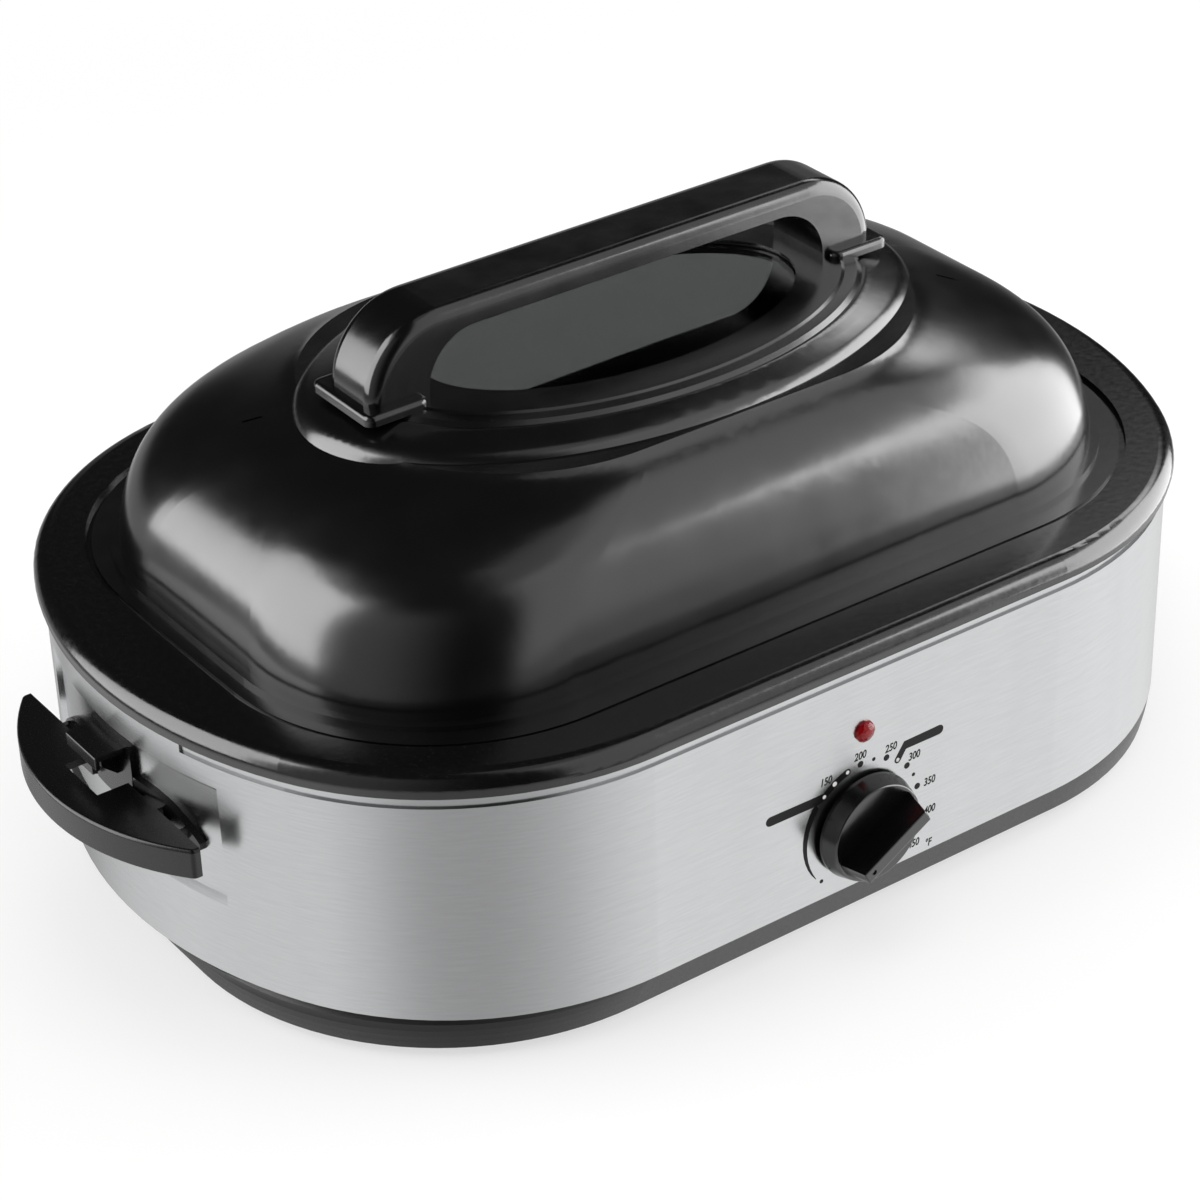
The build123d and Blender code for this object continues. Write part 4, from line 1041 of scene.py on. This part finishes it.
def screw_rule():
    """A pan-head screw that is driven along its way from each spot: domed head, cross, thread."""
    tree, given = new_rule(
        "machine_screws",
        {"Head": 0.0039, "Head height": 0.0022, "Shank": 0.00195, "Reach": 0.012, "Pitch": 0.0007},
    )
    sizes = ("Head", "Head height", "Shank", "Reach", "Pitch")
    radius, height, shank, reach, pitch = (given[name] for name in sizes)
    blank = add_node(
        tree,
        "GeometryNodeMeshCylinder",
        {"Vertices": HEAD_SIDES, "Side Segments": 2, "Fill Segments": 7},
        {"Radius": radius, "Depth": height},
    )
    # The head's outer face falls off towards its edge, by the fourth power of the radius.
    spot = add_node(tree, "GeometryNodeInputPosition")
    sides = add_node(tree, "ShaderNodeSeparateXYZ", links={0: spot})
    flat = add_node(tree, "ShaderNodeCombineXYZ", links={0: sides, 1: sides.outputs[1]})
    out = add_node(tree, "ShaderNodeVectorMath", {"operation": "LENGTH"}, {0: flat})
    share = add_node(tree, "ShaderNodeMath", {"operation": "DIVIDE"}, {0: out.outputs["Value"], 1: radius})
    curve = add_node(tree, "ShaderNodeMath", {"operation": "POWER", 1: 4.0}, {0: share})
    sunk = add_node(tree, "ShaderNodeMath", {"operation": "MULTIPLY", 1: HEAD_FALL}, {0: height})
    fall = add_node(tree, "ShaderNodeMath", {"operation": "MULTIPLY"}, {0: curve, 1: sunk})
    lift = add_node(tree, "ShaderNodeCombineXYZ", links={2: fall})
    outer = add_node(
        tree, "FunctionNodeCompare", {"operation": "LESS_THAN", 1: -0.1 * MM}, {0: sides.outputs[2]}
    )
    domed = add_node(
        tree, "GeometryNodeSetPosition", links={"Geometry": blank, "Selection": outer, "Offset": lift}
    )
    # The cross: two slots that cut three fifths of the way through the head.
    level = add_node(
        tree,
        "ShaderNodeVectorMath",
        {"operation": "MULTIPLY", 1: (RECESS_LENGTH, RECESS_WIDTH, 0)},
        {0: radius},
    )
    deep = add_node(tree, "ShaderNodeCombineXYZ", links={2: height})
    bulk = add_node(tree, "ShaderNodeVectorMath", {"operation": "ADD"}, {0: level, 1: deep})
    slot = add_node(tree, "GeometryNodeMeshCube", links={"Size": bulk})
    out_by = add_node(
        tree, "ShaderNodeVectorMath", {"operation": "MULTIPLY", 1: (0, 0, -RECESS_SHIFT)}, {0: deep}
    )
    crossed = add_node(tree, "GeometryNodeMeshBoolean", {"operation": "DIFFERENCE"}, {0: domed})
    for turn in (0.0, pi / 2):
        cutter = add_node(
            tree,
            "GeometryNodeTransform",
            {"Rotation": (0, 0, turn)},
            {"Geometry": slot, "Translation": out_by},
        )
        tree.links.new(cutter.outputs[0], crossed.inputs[1])
    half_up = add_node(tree, "ShaderNodeMath", {"operation": "MULTIPLY", 1: -0.5}, {0: height})
    seat = add_node(tree, "ShaderNodeCombineXYZ", links={2: half_up})
    head = add_node(tree, "GeometryNodeTransform", links={"Geometry": crossed, "Translation": seat})
    # The thread: a three-sided ridge wound round a core.
    root = add_node(tree, "ShaderNodeMath", {"operation": "MULTIPLY", 1: ROOT_SHARE}, {0: shank})
    core = add_node(tree, "GeometryNodeMeshCylinder", {"Vertices": 20}, {"Radius": root, "Depth": reach})
    half = add_node(tree, "ShaderNodeMath", {"operation": "MULTIPLY", 1: 0.5}, {0: reach})
    middle = add_node(tree, "ShaderNodeCombineXYZ", links={2: half})
    stem = add_node(tree, "GeometryNodeTransform", links={"Geometry": core, "Translation": middle})
    turns = add_node(tree, "ShaderNodeMath", {"operation": "DIVIDE"}, {0: reach, 1: pitch})
    wound = add_node(tree, "ShaderNodeMath", {"operation": "SUBTRACT", 1: 1.0}, {0: turns})
    thread = add_node(
        tree,
        "GeometryNodeCurveSpiral",
        {"Resolution": 16},
        {"Rotations": wound, "Start Radius": root, "End Radius": root, "Height": reach},
    )
    ridge = add_node(tree, "ShaderNodeMath", {"operation": "MULTIPLY", 1: RIDGE_SHARE}, {0: pitch})
    section = add_node(tree, "GeometryNodeCurvePrimitiveCircle", {"Resolution": 3}, {"Radius": ridge})
    winding = add_node(
        tree, "GeometryNodeCurveToMesh", {"Fill Caps": True}, {"Curve": thread, "Profile Curve": section}
    )
    screw = add_node(tree, "GeometryNodeJoinGeometry")
    for part in (head, stem, winding):
        tree.links.new(part.outputs[0], screw.inputs[0])
    way = add_node(tree, "GeometryNodeInputNamedAttribute", {"data_type": "FLOAT_VECTOR", "Name": "way"})
    turned = add_node(tree, "FunctionNodeAlignRotationToVector", {"axis": "Z"}, {"Vector": way})
    screws = add_node(
        tree,
        "GeometryNodeInstanceOnPoints",
        links={"Points": given["Geometry"], "Instance": screw, "Rotation": turned},
    )
    end_rule(tree, given, screws)
    return tree


class SCREW_OT_drive(bpy.types.Operator):
    """Drive every cross-recess screw in its place"""

    bl_idname = "roaster.screws"
    bl_label = "Screws"

    def execute(self, context):
        settings = context.scene.roaster_screws
        rule = screw_rule()
        finish = finish_for("zinc_steel")
        for node, body, head_mm, reach_mm, spots, ways in SCREW_SETS:
            sizes = {
                "Head": settings.head_radius,
                "Head height": head_mm * MM,
                "Shank": settings.shank_radius,
                "Reach": reach_mm * MM,
                "Pitch": settings.pitch,
            }
            mesh = grow(node, rule, sizes, finish, spots, ways)
            place_piece(mesh, "cross_" + node, body, finish, (node,))
        return {"FINISHED"}


# ---------------------------------------------------------------- rack welds
class RACK_settings(bpy.types.PropertyGroup):
    """The resistance welds of the wire rack."""

    nugget: metres("Nugget", "Radius of a weld nugget", 0.0021)


# The rack's hoop and rods, in mm.
HOOP_HALF_X_MM = 185.0
HOOP_HALF_Y_MM = 106.0
HOOP_CORNER_MM = 60.0
ROD_STEP_MM = 30.0
RODS_EACH_SIDE = 5
WELD_Z_MM = 55.6  # between the hoop's wire and the rods that lie on it
NUGGET_SQUASH = (1.0, 1.25, 0.75)


class RACK_OT_weld(bpy.types.Operator):
    """Weld the rods of the rack to its hoop"""

    bl_idname = "roaster.rack_welds"
    bl_label = "Rack welds"

    def execute(self, context):
        tree, given = new_rule("weld_nuggets", {"Nugget": 0.0021})
        ball = add_node(
            tree, "GeometryNodeMeshIcoSphere", {"Subdivisions": 3}, {"Radius": given["Nugget"]}
        )
        nuggets = add_node(
            tree,
            "GeometryNodeInstanceOnPoints",
            {"Scale": NUGGET_SQUASH},
            {"Points": given["Geometry"], "Instance": ball},
        )
        end_rule(tree, given, nuggets)
        spots = []
        for step in range(-RODS_EACH_SIDE, RODS_EACH_SIDE + 1):
            x = step * ROD_STEP_MM
            into_corner = max(abs(x) - (HOOP_HALF_X_MM - HOOP_CORNER_MM), 0)
            y = HOOP_HALF_Y_MM - HOOP_CORNER_MM + sqrt(HOOP_CORNER_MM**2 - into_corner**2)
            spots += [Vector((x, MID_Y_MM + side * y, WELD_Z_MM)) * MM for side in (1, -1)]
        finish = finish_for("chrome_wire")
        mesh = grow("rack_welds", tree, {"Nugget": context.scene.roaster_rack.nugget}, finish, spots)
        place_piece(mesh, "rack_welds", "rack", finish)
        return {"FINISHED"}


# ---------------------------------------------------------------- lamp lens
class LENS_settings(bpy.types.PropertyGroup):
    """The cut lens of the heating lamp."""

    facets: IntProperty(name="Facets", description="Facets round the lens", default=10, min=6)
    rings: IntProperty(name="Rings", description="Rows of facets up the dome", default=3, min=2)


LENS_RIM = 0.7 * MM  # thickness of the rim that lies on the steel
LENS_STEM = 4.1 * MM  # radius of the stem through the steel


class LENS_OT_cut(bpy.types.Operator):
    """Cut the red lens of the heating lamp"""

    bl_idname = "roaster.lamp_lens"
    bl_label = "Lamp lens"

    def execute(self, context):
        settings = context.scene.roaster_lens
        low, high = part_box("indicator_lens")
        radius = (high.x - low.x) / 2
        dome = PANEL_Y - low.y - LENS_RIM
        middle = Vector(((low.x + high.x) / 2, 0, (low.z + high.z) / 2))
        count = settings.facets
        lens = bmesh.new()

        def ring(size, y, turn=0.0):
            """A ring of points round the lens's axis."""
            angles = [2 * pi * (step + turn) / count for step in range(count)]
            spots = [Vector((sin(angle) * size, y, cos(angle) * size)) for angle in angles]
            return [lens.verts.new(middle + spot) for spot in spots]

        # From the blind end of the stem to the rim, each ring straight behind the next.
        rings = [
            ring(LENS_STEM, high.y),
            ring(LENS_STEM, PANEL_Y),
            ring(radius, PANEL_Y),
            ring(radius, PANEL_Y - LENS_RIM),
        ]
        lens.faces.new(rings[0])
        for back, front in zip(rings, rings[1:]):
            for step in range(count):
                after = (step + 1) % count
                lens.faces.new((back[step], back[after], front[after], front[step]))
        # Each row of the dome is turned by half a facet, so that the facets are triangles.
        edge = rings[-1]
        for row in range(1, settings.rings + 1):
            angle = pi / 2 * row / (settings.rings + 1)
            turn = 0.5 * (row % 2)
            inner = ring(radius * cos(angle), PANEL_Y - LENS_RIM - dome * sin(angle), turn)
            for step in range(count):
                after = (step + 1) % count
                lens.faces.new((edge[step], edge[after], inner[step if turn else after]))
                lens.faces.new((edge[after if turn else step], inner[after], inner[step]))
            edge = inner
        tip = lens.verts.new(middle + Vector((0, PANEL_Y - LENS_RIM - dome, 0)))
        for step in range(count):
            lens.faces.new((edge[step], edge[(step + 1) % count], tip))
        bmesh.ops.recalc_face_normals(lens, faces=lens.faces)
        mesh = finished_mesh("cut_lamp_lens", lens)
        place_piece(mesh, "cut_lamp_lens", "base", finish_for("red_lens"), ("indicator_lens",))
        return {"FINISHED"}


OPERATORS = (
    STAGE_OT_build,
    FINISH_OT_apply,
    DIAL_OT_numbers,
    DIAL_OT_bars,
    DIAL_OT_dots,
    KNOB_OT_marks,
    SCREW_OT_drive,
    RACK_OT_weld,
    LENS_OT_cut,
)
SETTINGS = {
    "roaster_stage": STAGE_settings,
    "roaster_dial": DIAL_settings,
    "roaster_knob": KNOB_settings,
    "roaster_screws": SCREW_settings,
    "roaster_rack": RACK_settings,
    "roaster_lens": LENS_settings,
}


class VIEW3D_PT_roaster(bpy.types.Panel):
    """Lists the pieces that this file makes"""

    bl_label = "Roaster oven"
    bl_space_type = "VIEW_3D"
    bl_region_type = "UI"
    bl_category = "Roaster"

    def draw(self, context):
        for operator in OPERATORS:
            self.layout.operator(operator.bl_idname)


def register():
    """Add the classes and their settings to Blender."""
    for each in (*SETTINGS.values(), *OPERATORS, VIEW3D_PT_roaster):
        bpy.utils.register_class(each)
    for name, group in SETTINGS.items():
        setattr(bpy.types.Scene, name, PointerProperty(type=group))


def unregister():
    """Take the classes and their settings out again."""
    for name in SETTINGS:
        delattr(bpy.types.Scene, name)
    for each in reversed((*SETTINGS.values(), *OPERATORS, VIEW3D_PT_roaster)):
        bpy.utils.unregister_class(each)


def main():
    """Make every piece in order."""
    register()
    for operator in OPERATORS:
        group, name = operator.bl_idname.split(".")
        getattr(getattr(bpy.ops, group), name)()


if __name__ == "__main__":
    main()
